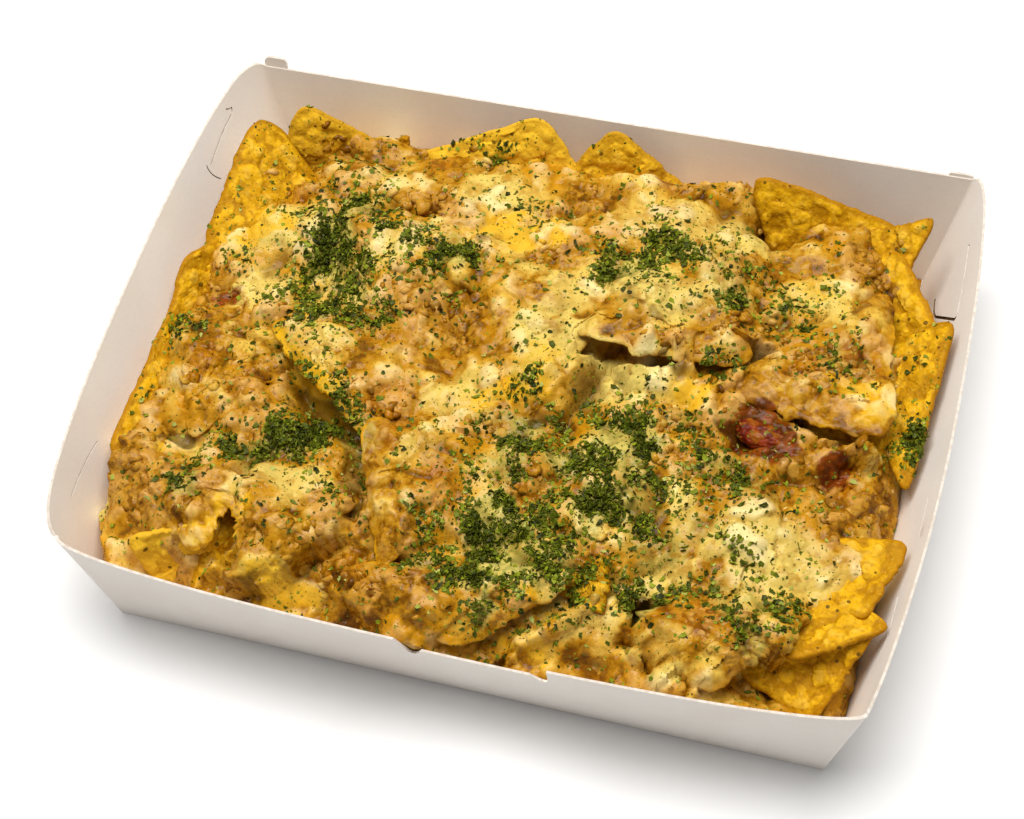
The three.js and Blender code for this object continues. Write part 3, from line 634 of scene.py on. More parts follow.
def topping_finish():
    material, w, shader = new_material("baked_topping")
    place = w.place()
    cloud = w.use(MOTTLE, Place=place, Scale=150.0)["Cloud"]
    fray = w.use(MOTTLE, Place=place, Scale=480.0)["Cloud"]
    broad = w.noise(place, 60.0, detail=3)
    relief, melted = w.attribute("relief"), w.attribute("melt")
    ragged = w.math("MULTIPLY", w.math("SUBTRACT", cloud, 0.5), 1.1)
    ragged = w.math("ADD", ragged, w.math("SUBTRACT", fray, 0.5))

    def cover(kind, low=0.22, high=0.72):
        """A patch with its border broken up by the clouds."""
        return w.ramp(w.math("ADD", w.attribute(kind), ragged), low, high)

    # Mince in sauce, browned in places.
    sauce = w.blend(w.ramp(cloud, 0.38, 0.62), "5A3002", "9A6006")
    lumps = w.blend(w.ramp(fray, 0.38, 0.62), "865404", "BC861E")
    colour = w.blend(w.ramp(relief, 0.25, 0.65), sauce, lumps)
    bits = w.use(SPECKS, Place=place, Density=230.0, Share=0.62, Size=0.62)
    bit = w.blend(w.ramp(bits["Tone"], 0.35, 0.50), "583004", "CC9C3E")
    colour = w.tint(colour, bits["Mask"], 0.55, bit)
    browned = w.blend(w.ramp(cloud, 0.40, 0.62), "8E4C02", "BE7608")
    colour = w.tint(colour, cover("browned"), 0.5, browned)

    # Cheese run over it, an orange border first and then the pale and the yellow pools.
    run = w.math("ADD", melted, w.math("MULTIPLY", ragged, 0.9))
    run = w.math("ADD", run, w.math("MULTIPLY", w.math("SUBTRACT", relief, 0.45), 0.9))
    colour = w.tint(colour, w.ramp(run, 0.10, 0.55), 0.85, "B07A0C")
    cream = w.blend(w.ramp(broad, 0.38, 0.60), "C28814", "DAB44C")
    cream = w.tint(cream, w.attribute("pale"), 0.8, "D8C46A")
    cream = w.tint(cream, w.ramp(cloud, 0.50, 0.64), 0.6, "A66E08")
    cream = w.tint(cream, cover("yellow"), 0.7, "E4AE0E")
    colour = w.tint(colour, w.ramp(run, 0.35, 0.95), 0.95, cream)

    # Painted shade in the gaps between clods, lighter tops that are partly cheese and partly a
    # painted highlight, tomato sauce, and the green that parsley leaves round itself, with painted
    # shade in its hollows.
    hollow = w.math("SUBTRACT", 1.0, w.ramp(relief, 0.08, 0.48))
    colour = w.tint(colour, hollow, 0.85, w.blend(melted, "221001", "603C03"))
    # Lighter tops: cheese on the clods, and a painted highlight.
    colour = w.tint(colour, w.ramp(relief, 0.60, 0.92), 0.55, w.blend(melted, "D29E52", "F4E6AC"))
    red = w.blend(w.ramp(cloud, 0.42, 0.60), "481800", "823600")
    colour = w.tint(colour, cover("red", 0.15, 0.6), 0.95, red)
    # Green stain round parsley, darker in the low places as painted shade among the flakes.
    stain_and_shade = w.blend(w.ramp(relief, 0.28, 0.60), "303208", "C4B65E")
    colour = w.tint(colour, cover("parsley", 0.15, 0.85), 0.7, stain_and_shade)
    powder = w.math("MULTIPLY", cover("parsley", 0.2, 0.9), w.ramp(fray, 0.44, 0.58))
    colour = w.tint(colour, powder, 0.45, "6A6E20")

    # Pepper and the finest herbs, corn where a chip shows through, and painted shade in the gaps and below free edges.
    pepper = w.use(SPECKS, Place=place, Density=560.0, Share=0.26, Size=0.22)
    colour = w.tint(colour, pepper["Mask"], 0.55, "543C0A")
    herb = w.use(SPECKS, Place=place, Density=800.0, Share=0.26, Size=0.28)
    colour = w.tint(colour, herb["Mask"], 0.35, "7A8028")
    corn = w.blend(w.ramp(cloud, 0.42, 0.58), "8E5C06", "CA9210")
    colour = w.tint(colour, w.ramp(w.attribute("bare"), 0.3, 0.8), 0.9, corn)
    colour = w.tint(colour, w.ramp(w.attribute("shade"), 0.4, 1.0), 0.7, "3E2204")
    w.put(shader.inputs["Base Color"], colour)
    w.put(shader.inputs["Roughness"], w.math("ADD", 0.14, w.math("MULTIPLY", fray, 0.3)))
    set_constants(shader, {
        "Specular IOR Level": 0.05, "Subsurface Weight": 0.14, "Subsurface Scale": 0.0013,
        "Subsurface Radius": (1.0, 0.75, 0.35), "Coat Weight": 0.16, "Coat Roughness": 0.07,
    })
    add_bump(w, shader, w.use(FINE, Place=place, Grain=430.0)["Height"], 0.0009, 0.55)
    return material


TOPPING = topping_finish()
print("finish:", TOPPING.name)

# %% [markdown]
# Fried corn
#
# A tortilla chip is matt and golden. Its blister tops are painted lighter, as a painted highlight,
# and the hollows between them darker, as painted shade. Toasted spots and flecks of seasoning lie
# in the hollows. The chips' meshes carry how far each point stands out and how near it is to the
# edge, and the finish reads both. Chips that stand in shade are painted lighter than the rest, as
# painted light, so each mesh also carries how much light is painted on it.

# %% Chip finish
def chip_finish():
    material, w, shader = new_material("fried_corn")
    place = w.place()
    cloud = w.use(MOTTLE, Place=place, Scale=140.0)["Cloud"]
    grain = w.use(MOTTLE, Place=place, Scale=900.0)["Cloud"]
    blister = w.attribute("blister")
    colour = w.blend(w.ramp(cloud, 0.36, 0.62), "CC960A", "E0AC18")
    # Painted shade between the blisters and a painted highlight on their tops.
    colour = w.tint(colour, w.math("SUBTRACT", 1.0, w.ramp(blister, 0.04, 0.30)), 0.7, "A46E04")
    colour = w.tint(colour, w.ramp(blister, 0.40, 0.95), 0.65, "E2B53C")
    pebble = w.voronoi(place, 420.0).outputs["Distance"]
    colour = w.tint(colour, w.ramp(pebble, 0.45, 0.75), 0.45, "946204")
    colour = w.tint(colour, w.ramp(grain, 0.55, 0.68), 0.35, "E8BC48")
    colour = w.tint(colour, w.ramp(grain, 0.46, 0.36), 0.3, "8C5A04")
    colour = w.tint(colour, w.ramp(w.attribute("rim"), 0.92, 1.0), 0.5, "A87006")
    # Painted light on the chips that stand in shade.
    colour = w.tint(colour, w.attribute("light"), 0.6, "F2C234")
    toast = w.use(SPECKS, Place=place, Density=190.0, Share=0.24, Size=0.26)
    colour = w.tint(colour, toast["Mask"], 0.5, "96600A")
    fleck = w.use(SPECKS, Place=place, Density=380.0, Share=0.22, Size=0.24)
    colour = w.tint(colour, fleck["Mask"], 0.8, "46300C")
    w.put(shader.inputs["Base Color"], colour)
    set_constants(shader, {
        "Roughness": 0.5, "Specular IOR Level": 0.06, "Subsurface Weight": 0.06,
        "Subsurface Radius": (1.0, 0.5, 0.1), "Subsurface Scale": 0.0012,
    })
    add_bump(w, shader, w.use(FINE, Place=place, Grain=800.0)["Height"], 0.0005, 0.7)
    return material


CHIP = chip_finish()
print("finish:", CHIP.name)

# %% Parsley, tomato and board finishes
def parsley_finish():
    material, w, shader = new_material("dried_parsley")
    tone = w.attribute("tone")
    colour = w.blend(w.ramp(tone, 0.0, 0.40), "222604", "4A520A")
    colour = w.blend(w.ramp(tone, 0.35, 0.80), colour, "868F1C")
    colour = w.blend(w.ramp(tone, 0.85, 1.0), colour, "ACB058")
    vein = w.noise(w.place(), 1500.0, detail=2)
    colour = w.tint(colour, w.ramp(vein, 0.5, 0.7), 0.3, "8E9228")
    w.put(shader.inputs["Base Color"], colour)
    set_constants(shader, {"Roughness": 0.5, "Specular IOR Level": 0.12})
    return material


def tomato_finish():
    material, w, shader = new_material("baked_tomato")
    place = w.place()
    cloud = w.use(MOTTLE, Place=place, Scale=300.0)["Cloud"]
    colour = w.blend(w.ramp(cloud, 0.4, 0.62), "541004", "86300A")
    sauce = w.ramp(w.noise(place, 260.0, detail=3), 0.48, 0.60)
    w.put(shader.inputs["Base Color"], w.tint(colour, sauce, 0.8, "96560C"))
    set_constants(shader, {
        "Roughness": 0.35, "Specular IOR Level": 0.15, "Coat Weight": 0.06,
        "Subsurface Weight": 0.1, "Subsurface Radius": (1.0, 0.3, 0.15), "Subsurface Scale": 0.002,
    })
    add_bump(w, shader, w.use(FINE, Place=place, Grain=600.0)["Height"], 0.0008, 0.7)
    return material


def board_finish(name, low, high):
    material, w, shader = new_material(name)
    place = w.place()
    fibre = w.noise(place, 900.0, detail=4, roughness=0.7)
    colour = w.blend(w.ramp(w.noise(place, 25.0, detail=2), 0.35, 0.65), low, high)
    w.put(shader.inputs["Base Color"], w.tint(colour, w.ramp(fibre, 0.45, 0.75), 0.12, "CFC4B8"))
    shader.inputs["Roughness"].default_value = 0.55
    add_bump(w, shader, fibre, 0.00012, 0.5)
    return material


def fibre_finish(name, fineness, low, high, roughness):
    """Board at its raw edges, in its cuts and along pressed lines: fibres of two shades. The cuts and
    the rim's top edge also take painted shade, the pressed lines a painted highlight.
    """
    material, w, shader = new_material(name)
    fibre = w.noise(w.place(), fineness, detail=3)
    w.put(shader.inputs["Base Color"], w.blend(w.ramp(fibre, 0.4, 0.6), low, high))
    shader.inputs["Roughness"].default_value = roughness
    return material


PARSLEY = parsley_finish()
TOMATO = tomato_finish()
BOARD = board_finish("paperboard", "F6EEE4", "FAF5EE")
# The outside of the walls: a greyer copy of the board, its back, with painted shade.
SHADED_BOARD_BACK = board_finish("back_of_paperboard", "E6DDD4", "EBE4DC")
# Cut edges dark brown, the board's core with painted shade in the gap; the rim's top edge darker, raw board with
# painted shade; pressed lines paler, as a painted highlight.
CUT_EDGE_AND_SHADE = fibre_finish("cut_edge_of_board", 1200.0, "5A3C1C", "7A5A34", 0.9)
SHADED_RAW_EDGE = fibre_finish("raw_edge_of_board", 500.0, "CCC0B2", "DCD2C6", 0.9)
PRESSED_LINE_HIGHLIGHT = fibre_finish("scored_board", 700.0, "F8F2EA", "FFFCF6", 0.35)
print("finishes:", [material.name for material in bpy.data.materials])

# %% [markdown]
# The tray
#
# The real tray is one cut sheet, folded up into four sloping walls; the side walls bow outwards
# and their upper edges arch. It is spun from its cross-section, up the outside, over the rim and
# down the inside, and each ring is then pulled out to the outline that the walls have at its
# height. Each side wall has a tab cut into it, and lines scored where the board was pressed. Thin
# ribbons are cut out of the walls for them, because a cut or a pressed line is a narrow groove
# with clean sides. The cuts are dark brown, the board's core with painted shade in the gap; the
# pressed lines are paler, as a painted highlight; the rim's top edge and the outside of the walls
# are darker, partly raw edge and board back and partly painted shade.

# %% Tray sizes (mm)
BOARD_THICKNESS = 0.7
WALL_HEIGHT = 42.0
SIDE_ARCH = 3.8
FLOOR_PANEL = {"half_width": 105.6, "front": -90.2, "back": 80.5}
RIM = {"half_width": 115.0, "front": -89.8, "back": 90.6}
BOW = {"left": 9.4, "right": 6.8, "front": 8.0}
LIP = {"left": -6.0, "right": 29.5, "drop": 6.2}
TRAY_STEPS, TRAY_RINGS = 480, 14
RIM_MARK = 10  # the level that marks the rim while the tray is spun
HEAP_GAP = 1.1  # between the middle of the walls and the heap


def rim_height(turn):
    """Height of the rim: level along the front and the back, arched along the two sides."""
    side = np.floor(turn * 4) % 4
    along = np.abs(np.cos(np.pi * (turn * 4 - np.floor(turn * 4))))
    end = np.clip((along - 0.84) / 0.16, 0, 1)
    return np.where(side % 2 == 1, WALL_HEIGHT, WALL_HEIGHT + SIDE_ARCH * np.sqrt(1 - end * end))


def bulge(along):
    """How far a bowed wall stands out, from 0 at its ends (-1 and 1) to 1 in its middle."""
    return np.sqrt(np.clip(1 - np.abs(along) ** 2.3, 0, 1))


def wall_lines(height, inset):
    """Half the width and where the front and back walls stand. The height is 1 at the rim."""
    half_width, front, back = (
        FLOOR_PANEL[line] + (RIM[line] - FLOOR_PANEL[line]) * height for line in FLOOR_PANEL
    )
    return half_width - inset, front + inset, back - inset


def wall_point(turn, height, inset):
    """The walls' outline at a height, 0 at the floor and 1 at the rim. It turns once from the front
    right corner, as `turn` goes from 0 to 1."""
    side = np.floor(turn * 4) % 4
    along = -np.cos(np.pi * (turn * 4 - np.floor(turn * 4)))
    half_width, front, back = wall_lines(height, inset)
    middle, half_depth = (front + back) / 2, (back - front) / 2
    full = bulge(along)
    right_bulge = np.where(along > 0, full, 1 - along * along)
    right_back_left = [side == 0, side == 1, side == 2]
    right = half_width + BOW["right"] * right_bulge * height
    left = -half_width - BOW["left"] * full * height
    x = np.select(right_back_left, [right, -along * half_width, left], along * half_width)
    y = np.select(
        right_back_left,
        [middle + along * half_depth, back, middle - along * half_depth],
        front - BOW["front"] * full * height,
    )
    return x, y


# %% Spinning the tray
def link_piece(name, mesh, material, slot, *nodes):
    """A finished piece: its finish, the body it rides on and the solids it stands for."""
    mesh.name = name
    if not any(mesh.materials):
        mesh.materials.clear()
        mesh.materials.append(material)
    piece = linked(name, mesh)
    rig.ride(piece, "root")
    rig.replaces(piece, *nodes)
    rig.slot(piece, slot)
    return piece


def spun(profile, steps):
    """A closed body spun from points (radius, level), which start and end on the axis."""
    bm = bmesh.new()
    points = [bm.verts.new((radius, 0, level)) for radius, level in profile]
    edges = [bm.edges.new(pair) for pair in zip(points, points[1:])]
    bmesh.ops.spin(
        bm, geom=points + edges, axis=(0, 0, 1), cent=(0, 0, 0), steps=steps, angle=math.tau,
        use_merge=True,
    )
    bmesh.ops.remove_doubles(bm, verts=bm.verts, dist=1e-6)
    bmesh.ops.recalc_face_normals(bm, faces=bm.faces)
    return bm


def make_tray_shell():
    # The level tells the rings apart: below 0 outside and above 0 inside.
    climb, descent = (np.linspace(*ends, TRAY_RINGS) for ends in ((0.6, RIM_MARK), (RIM_MARK, 0.6)))
    outside = [(0.0, -0.01), (1.0, -0.02)] + [(1.0, -level) for level in climb]
    inside = [(1.0, level) for level in descent] + [(1.0, 0.02), (0.0, 0.01)]
    mesh = mesh_from(spun(outside + inside, TRAY_STEPS), "tray")

    def fold(x, y, level):
        turn = (np.arctan2(y, x) / math.tau) % 1.0
        turn = np.round(turn * TRAY_STEPS) / TRAY_STEPS % 1.0
        board = np.where(level > 0, BOARD_THICKNESS, 0.0)
        height = np.clip(np.abs(level) / RIM_MARK, 0, 1)
        z = np.where(np.abs(level) < 0.05, board, board + (rim_height(turn) - board) * height)
        edge_x, edge_y = wall_point(turn, z / WALL_HEIGHT, board)
        on_axis = np.hypot(x, y) < 0.5
        middle_y = (FLOOR_PANEL["front"] + FLOOR_PANEL["back"]) / 2
        return in_frame(np.where(on_axis, 0, edge_x), np.where(on_axis, middle_y, edge_y), z)

    move_points(mesh, fold)
    return mesh


tray_mesh = make_tray_shell()
tray_mesh.materials.append(BOARD)
print("tray shell faces:", len(tray_mesh.polygons))

# %% Cutting the front lip and the side tab
def curved(start, bend, end, steps=6):
    """Points along a curve from start to end that is pulled towards bend."""
    return [
        tuple(
            (1 - t) ** 2 * a + 2 * t * (1 - t) * b + t * t * c for a, b, c in zip(start, bend, end)
        )
        for t in np.linspace(0, 1, steps)
    ]


def plate_along_y(outline, start, end):
    """A flat outline of (x, z) pushed from y = start to y = end."""
    bm = bmesh.new()
    face = bm.faces.new([bm.verts.new((x, start, z)) for x, z in outline])
    grown = bmesh.ops.extrude_face_region(bm, geom=[face])
    far = [g for g in grown["geom"] if isinstance(g, bmesh.types.BMVert)]
    bmesh.ops.translate(bm, verts=far, vec=(0, end - start, 0))
    bmesh.ops.recalc_face_normals(bm, faces=bm.faces)
    return bm


def tool_from(bm, name, finish=BOARD):
    """A helper object in the frame, made from a shape in mm from the middle of the rim."""
    bmesh.ops.translate(bm, verts=bm.verts, vec=MIDDLE)
    bmesh.ops.scale(bm, verts=bm.verts, vec=(MM, MM, MM))
    mesh = mesh_from(bm, name)
    mesh.materials.append(finish)
    return linked(name, mesh)


def front_lip_tool():
    """Cuts the lowered lip out of the front wall, with a round notch at each end."""
    lip, left, right = WALL_HEIGHT - LIP["drop"], LIP["left"], LIP["right"]
    above = WALL_HEIGHT + 10
    outline = [(left - 6.2, above), (left - 6.2, WALL_HEIGHT), (left - 3.4, lip - 3.8)]
    outline += curved((left - 3.4, lip - 3.8), (left - 2.2, lip - 5.2), (left - 0.8, lip - 3.4))[1:]
    outline += [(left + 0.8, lip), (right - 4.2, lip - 0.4)]
    outline += curved((right - 4.2, lip - 0.4), (right - 1.6, lip - 5.0), (right, lip - 4.6))[1:]
    outline += [(right + 0.8, lip - 2), (right + 1.2, WALL_HEIGHT), (right + 1.2, above)]
    return tool_from(plate_along_y(outline, RIM["front"] - 20, RIM["front"] + 6), "lip_cut")


def slit_tool(name, side, path, short_of, width, finish):
    """A thin ribbon along (y, z), from inside the tray into a side wall (1 right, -1 left), to
    `short_of` mm short of the wall's outer face."""
    well_inside = 99
    middle, half_depth = (RIM["front"] + RIM["back"]) / 2, (RIM["back"] - RIM["front"]) / 2
    bm = bmesh.new()
    points = [bm.verts.new((side * well_inside, y, z)) for y, z in path]
    edges = [bm.edges.new(pair) for pair in zip(points, points[1:])]
    grown = bmesh.ops.extrude_edge_only(bm, edges=edges)
    for corner in grown["geom"]:
        if isinstance(corner, bmesh.types.BMVert):
            along = math.acos(-side * (corner.co.y - middle) / half_depth) / math.pi
            turn = (along if side > 0 else 2 + along) / 4
            wall = wall_point(np.array([turn]), corner.co.z / WALL_HEIGHT, short_of)[0]
            corner.co.x = float(wall[0])
    bmesh.ops.recalc_face_normals(bm, faces=bm.faces)
    bmesh.ops.solidify(bm, geom=bm.faces[:], thickness=width)
    bmesh.ops.recalc_face_normals(bm, faces=bm.faces)
    return tool_from(bm, name, finish)


def side_tab_path():
    path = curved((69, 37.8), (58, 36.9), (48.6, 36.0), 8)
    path += curved((48.6, 36.0), (43.0, 35.4), (43.6, 33.2))[1:]
    path += curved((43.6, 33.2), (48.6, 26), (53.5, 18.8), 6)[1:]
    return path + curved((53.5, 18.8), (55.9, 15.8), (62.5, 15.6))[1:]


# Short cuts in the left wall, whose own tab stayed shut, and lines scored into both side walls.
LEFT_CUTS = [
    [(69.4, 43.0), (70.4, 42.0), (71.8, 41.4), (71.0, 40.4)],
    curved((49.2, 38.6), (47.4, 36.0), (50.2, 31.5)),
]
SCORED_LINES = [
    (-1, [(69.6, 40.2), (62, 39.6), (50.4, 37.6)]),
    (-1, curved((-53, 34.6), (-62, 36.8), (-74, 37.4))),
    (1, [(-50.5, 35.4), (-58, 36.2), (-66.5, 36.6)]),
    (1, [(-20, 38.6), (-34, 39.0)]),
]


def back_ear_tool(sign, rise):
    """The side walls' ends are folded round the back wall and show as round ears behind its rim."""
    lean = math.atan2(RIM["back"] - FLOOR_PANEL["back"], WALL_HEIGHT)
    slope = WALL_HEIGHT / math.cos(lean)
    outer, inner, top = RIM["half_width"], RIM["half_width"] - 8, slope + rise
    low = FLOOR_PANEL["half_width"]
    outline = [(low - 0.4, 1.5), (outer, slope)]
    outline += curved((outer, slope), (outer + 0.4, top), (outer - 2.5, top))[1:]
    outline += [(inner + 1.2, top)]
    outline += curved((inner + 1.2, top), (inner, top), (inner, slope - 2))[1:]
    outline += [(low - 8, 1.5)]
    outline = [(sign * x, z) for x, z in outline]
    bm = plate_along_y(outline, -BOARD_THICKNESS / 2, BOARD_THICKNESS)
    bmesh.ops.rotate(bm, verts=bm.verts, matrix=Matrix.Rotation(-lean, 3, "X"))
    bmesh.ops.translate(bm, verts=bm.verts, vec=(0, FLOOR_PANEL["back"], 0))
    return tool_from(bm, "ear")


def carved(mesh, steps):
    """The mesh after each tool has been taken away from it or joined to it."""
    work = linked("work", mesh)
    for operation, tool in steps:
        modifier = work.modifiers.new(tool.name, "BOOLEAN")
        modifier.operation = operation
        modifier.object = tool
        modifier.solver = "EXACT"
        modifier.material_mode = "TRANSFER"
    ready = work.evaluated_get(bpy.context.evaluated_depsgraph_get())
    result = bpy.data.meshes.new_from_object(ready)
    for _, tool in steps:
        bpy.data.objects.remove(tool)
    bpy.data.objects.remove(work)
    return result


# The tab and the short cuts take the dark cut finish, with painted shade in the gap.
cuts = [front_lip_tool(), slit_tool("tab_cut", 1, side_tab_path(), 0.14, 0.9, CUT_EDGE_AND_SHADE)]
cuts += [slit_tool("left_cut", -1, path, 0.3, 0.35, CUT_EDGE_AND_SHADE) for path in LEFT_CUTS]
# The pressed lines take a paler finish, a painted highlight along them.
cuts += [slit_tool("scored", side, path, 0.55, 0.5, PRESSED_LINE_HIGHLIGHT) for side, path in SCORED_LINES]
ears = [back_ear_tool(-1, 3.4), back_ear_tool(1, 1.0)]
steps = [("DIFFERENCE", cut) for cut in cuts] + [("UNION", ear) for ear in ears]
tray_mesh = carved(tray_mesh, steps)
shaded_raw_edge, shaded_back_side = len(tray_mesh.materials), len(tray_mesh.materials) + 1
tray_mesh.materials.append(SHADED_RAW_EDGE)
tray_mesh.materials.append(SHADED_BOARD_BACK)
# The rim's top faces take the darker raw edge, raw board with painted shade, and the faces on the outside the greyer
# back of the board, also with painted shade.
for face in tray_mesh.polygons:
    outwards = face.normal.xy.dot(face.center.xy - Vector(MIDDLE[:2]) * MM)
    if face.normal.z > 0.8 and face.center.z > 30 * MM:
        face.material_index = shaded_raw_edge
    elif face.material_index == 0 and (outwards > 0.01 or face.normal.z < -0.5):
        face.material_index = shaded_back_side
shade(tray_mesh, 28)
link_piece("paperboard_tray", tray_mesh, BOARD, "board", "tray")
print("tray faces:", len(tray_mesh.polygons))

# %% [markdown]
# The chips
#
# Every tortilla chip is a rounded triangle of corn dough that bent and blistered in the fryer. A
# disc is spun once from the section of a chip. Its points are then moved to a triangle on three
# corners, which the measured model gives, and bent. Blisters come from rounded cells, on the upper
# side alone, because there the steam lifts a thin skin.

# %% Chip shapes
# corners (mm), how far the middle stands out (mm) and how blunt the corners are (low is rounder)
BARE_CHIPS = {
    "chip_left_tall": ([(-107.5, 65, 44.5), (-109, 20, 36), (-72, 44, 18)], 3, 3),
    "chip_back_left": ([(-95, 73.6, 46), (-107, 54, 17), (-51, 72.5, 20)], 1, 6),
    "chip_back_shard": ([(-61, 75.3, 37), (-75, 71, 31), (-64, 66, 20)], 1, 6),
    "chip_back_middle": ([(-19, 83.7, 46), (-56, 70, 33), (2.5, 69.6, 21)], 2, 5),
    "chip_back_centre": ([(5, 85, 45), (-17.5, 69.5, 22), (35.8, 76, 22)], 2, 6),
    "chip_back_right": ([(51.5, 75, 45), (98, 70, 33.5), (71, 50, 8)], 2, 3.5),
    "chip_corner_tip": ([(105.5, 72.4, 42), (82, 67.4, 32), (95.5, 44, 22)], -1, 6),
    "chip_right_high": ([(98, 64, 34), (115.6, 31.5, 36), (82.5, 46, 14)], 2, 5),
    "chip_right_long": ([(118, 34.7, 42), (92.4, 32, 28), (112.3, -16.3, 33)], 1.5, 6),
    "chip_right_low": ([(115.6, -36.6, 41), (108.6, -61.3, 37), (74, -40, 30)], -1.5, 6),
    "chip_right_lowest": ([(115, -61.6, 40), (92, -77.6, 37), (77.3, -40.3, 30)], -1.5, 6),
    "chip_front_corner": ([(112, -62.2, 36.5), (100, -87.2, 23.5), (65, -71.6, 27)], 1, 6),
    "chip_left_middle": ([(-115.2, 13, 39), (-99, 40.4, 27), (-113.8, -14, 30)], 1, 6),
    "chip_left_long": ([(-112, -6.7, 38), (-112, -56.3, 37), (-94.5, -37, 18)], 1.5, 4),
    "chip_front_curl": ([(-96, -82.5, 38.5), (-72, -74, 39.5), (-84, -89.5, 5)], 2.5, 6),
    "chip_front_strip": ([(-74, -64.6, 38), (-76.7, -90, 28), (-61, -80.4, 14)], 1, 6),
    "chip_under_right": ([(104.5, -1, 38), (79, 1, 33), (103.5, -18, 24)], 0.5, 6),
    "chip_front_small": ([(38.8, -60.8, 44), (26.4, -71.8, 39), (41, -75.7, 38)], 0, 6),
}
CHEESY_CHIPS = {
    "cheesy_chip_high_left": ([(-63, 33, 46), (-16, 24.6, 47), (-45.4, -1, 45)], 2, 6),
    "cheesy_chip_long_left": ([(-77, -10.5, 46.5), (-32, -40.8, 46), (-38.5, 9, 43)], 1.5, 6),
    "cheesy_chip_centre": ([(-27, 33, 44), (19, 17, 48.5), (3, -24, 47)], 1, 4),
    "cheesy_chip_middle_right": ([(13.6, 3.5, 50), (62.6, 8.7, 47), (35.5, 49.7, 45)], 2.5, 6),
    "cheesy_chip_right": ([(104.4, -6, 43), (59, 1, 43), (96, 44.8, 39)], 1, 6),
    "cheesy_chip_low_left": ([(-102.3, -11.5, 40), (-90, -46, 39), (-68.8, -13.6, 36)], 2, 6),
    "cheesy_chip_front_left": ([(-67.3, -60.2, 43), (-77, -83.3, 41), (-106.5, -51.6, 37)], 2, 6),
    "cheesy_chip_front_draped": ([(-71, -61, 44), (-59, -87.8, 42), (-34.6, -60.3, 45)], 2, 6),
    "cheesy_chip_front_middle": ([(-38.2, -36.5, 46), (-3.7, -34.4, 47), (-22, -77.4, 43)], 2, 6),
    "cheesy_chip_front_wide": ([(31, -68.5, 45), (-31, -79, 42), (4, -93.5, 38)], 1.5, 6),
    "cheesy_chip_front_right": ([(90.6, -67, 43), (75, -90.5, 38.5), (50.7, -74.3, 43)], 2, 6),
}


def chip_disc(steps, rings, edge_round):
    """A closed disc of radius 1, its level from -1 on the underside to 1 on the upper side."""
    arc = [math.radians(a) for a in (-60, -30, 0, 30, 60)]
    profile = [(0, -1), (0.4, -1), (0.75, -1), (1 - edge_round, -1)]
    profile += [(1 - edge_round * (1 - math.cos(a)), math.sin(a)) for a in arc]
    profile += [(level, 1) for level in np.linspace(1 - edge_round, 0, rings)]
    return mesh_from(spun(profile, steps), "chip_disc")


def placed_on_corners(x, y, chip, grow=0.0):
    """Where the disc's points come to lie on a chip's mid surface, its upward normal, and the
    distances from the chip's middle in mm."""
    corners, bend, power = chip
    a, b, c = (np.array(corner, float) for corner in corners)
    middle = (a + b + c) / 3
    normal = np.cross(b - a, c - a)
    normal *= np.sign(normal[2]) / np.linalg.norm(normal)
    size = sum(np.linalg.norm(corner - middle) for corner in (a, b, c)) / 3
    angle, level = np.arctan2(y, x), np.hypot(x, y)
    pull = sum(np.clip(np.cos(angle - edge), 0, 1) ** power for edge in np.radians((30, 150, 270)))
    radius = 0.5 * 2 ** (1 / power) / pull ** (1 / power) * level + grow / size * level
    u, v = radius * np.cos(angle), radius * np.sin(angle)
    share_a = (v + 0.5) / 1.5
    share_c = (u / 0.866 + 1 - share_a) / 2
    share_b = 1 - share_a - share_c
    place = a[:, None] * share_a + b[:, None] * share_b + c[:, None] * share_c
    place = place + normal[:, None] * bend * (1 - (u / 0.6) ** 2) * size / 30
    along = (b - a) / np.linalg.norm(b - a)
    flat = place - middle[:, None]
    return place, normal, along @ flat, np.cross(normal, along) @ flat


# %% Bare chips
# Chips that stand in shade, against the back wall and at the front, are painted lighter: painted light, by how much.
PAINTED_LIGHT_ON_CHIPS = {
    "chip_back_middle": 1.0, "chip_front_curl": 1.0, "chip_back_left": 0.5, "chip_back_centre": 0.4,
}
HALF_A_CHIP = 0.95  # mm, half the thickness of a chip without its blisters
BARE_DISC = chip_disc(150, 34, 0.035)


def lift_chip(mesh, place, normal, lift):
    """Sets each point at its place on the chip, lifted along the chip's normal (mm)."""
    move_points(mesh, lambda *_: in_frame(*(place + normal[:, None] * lift)))


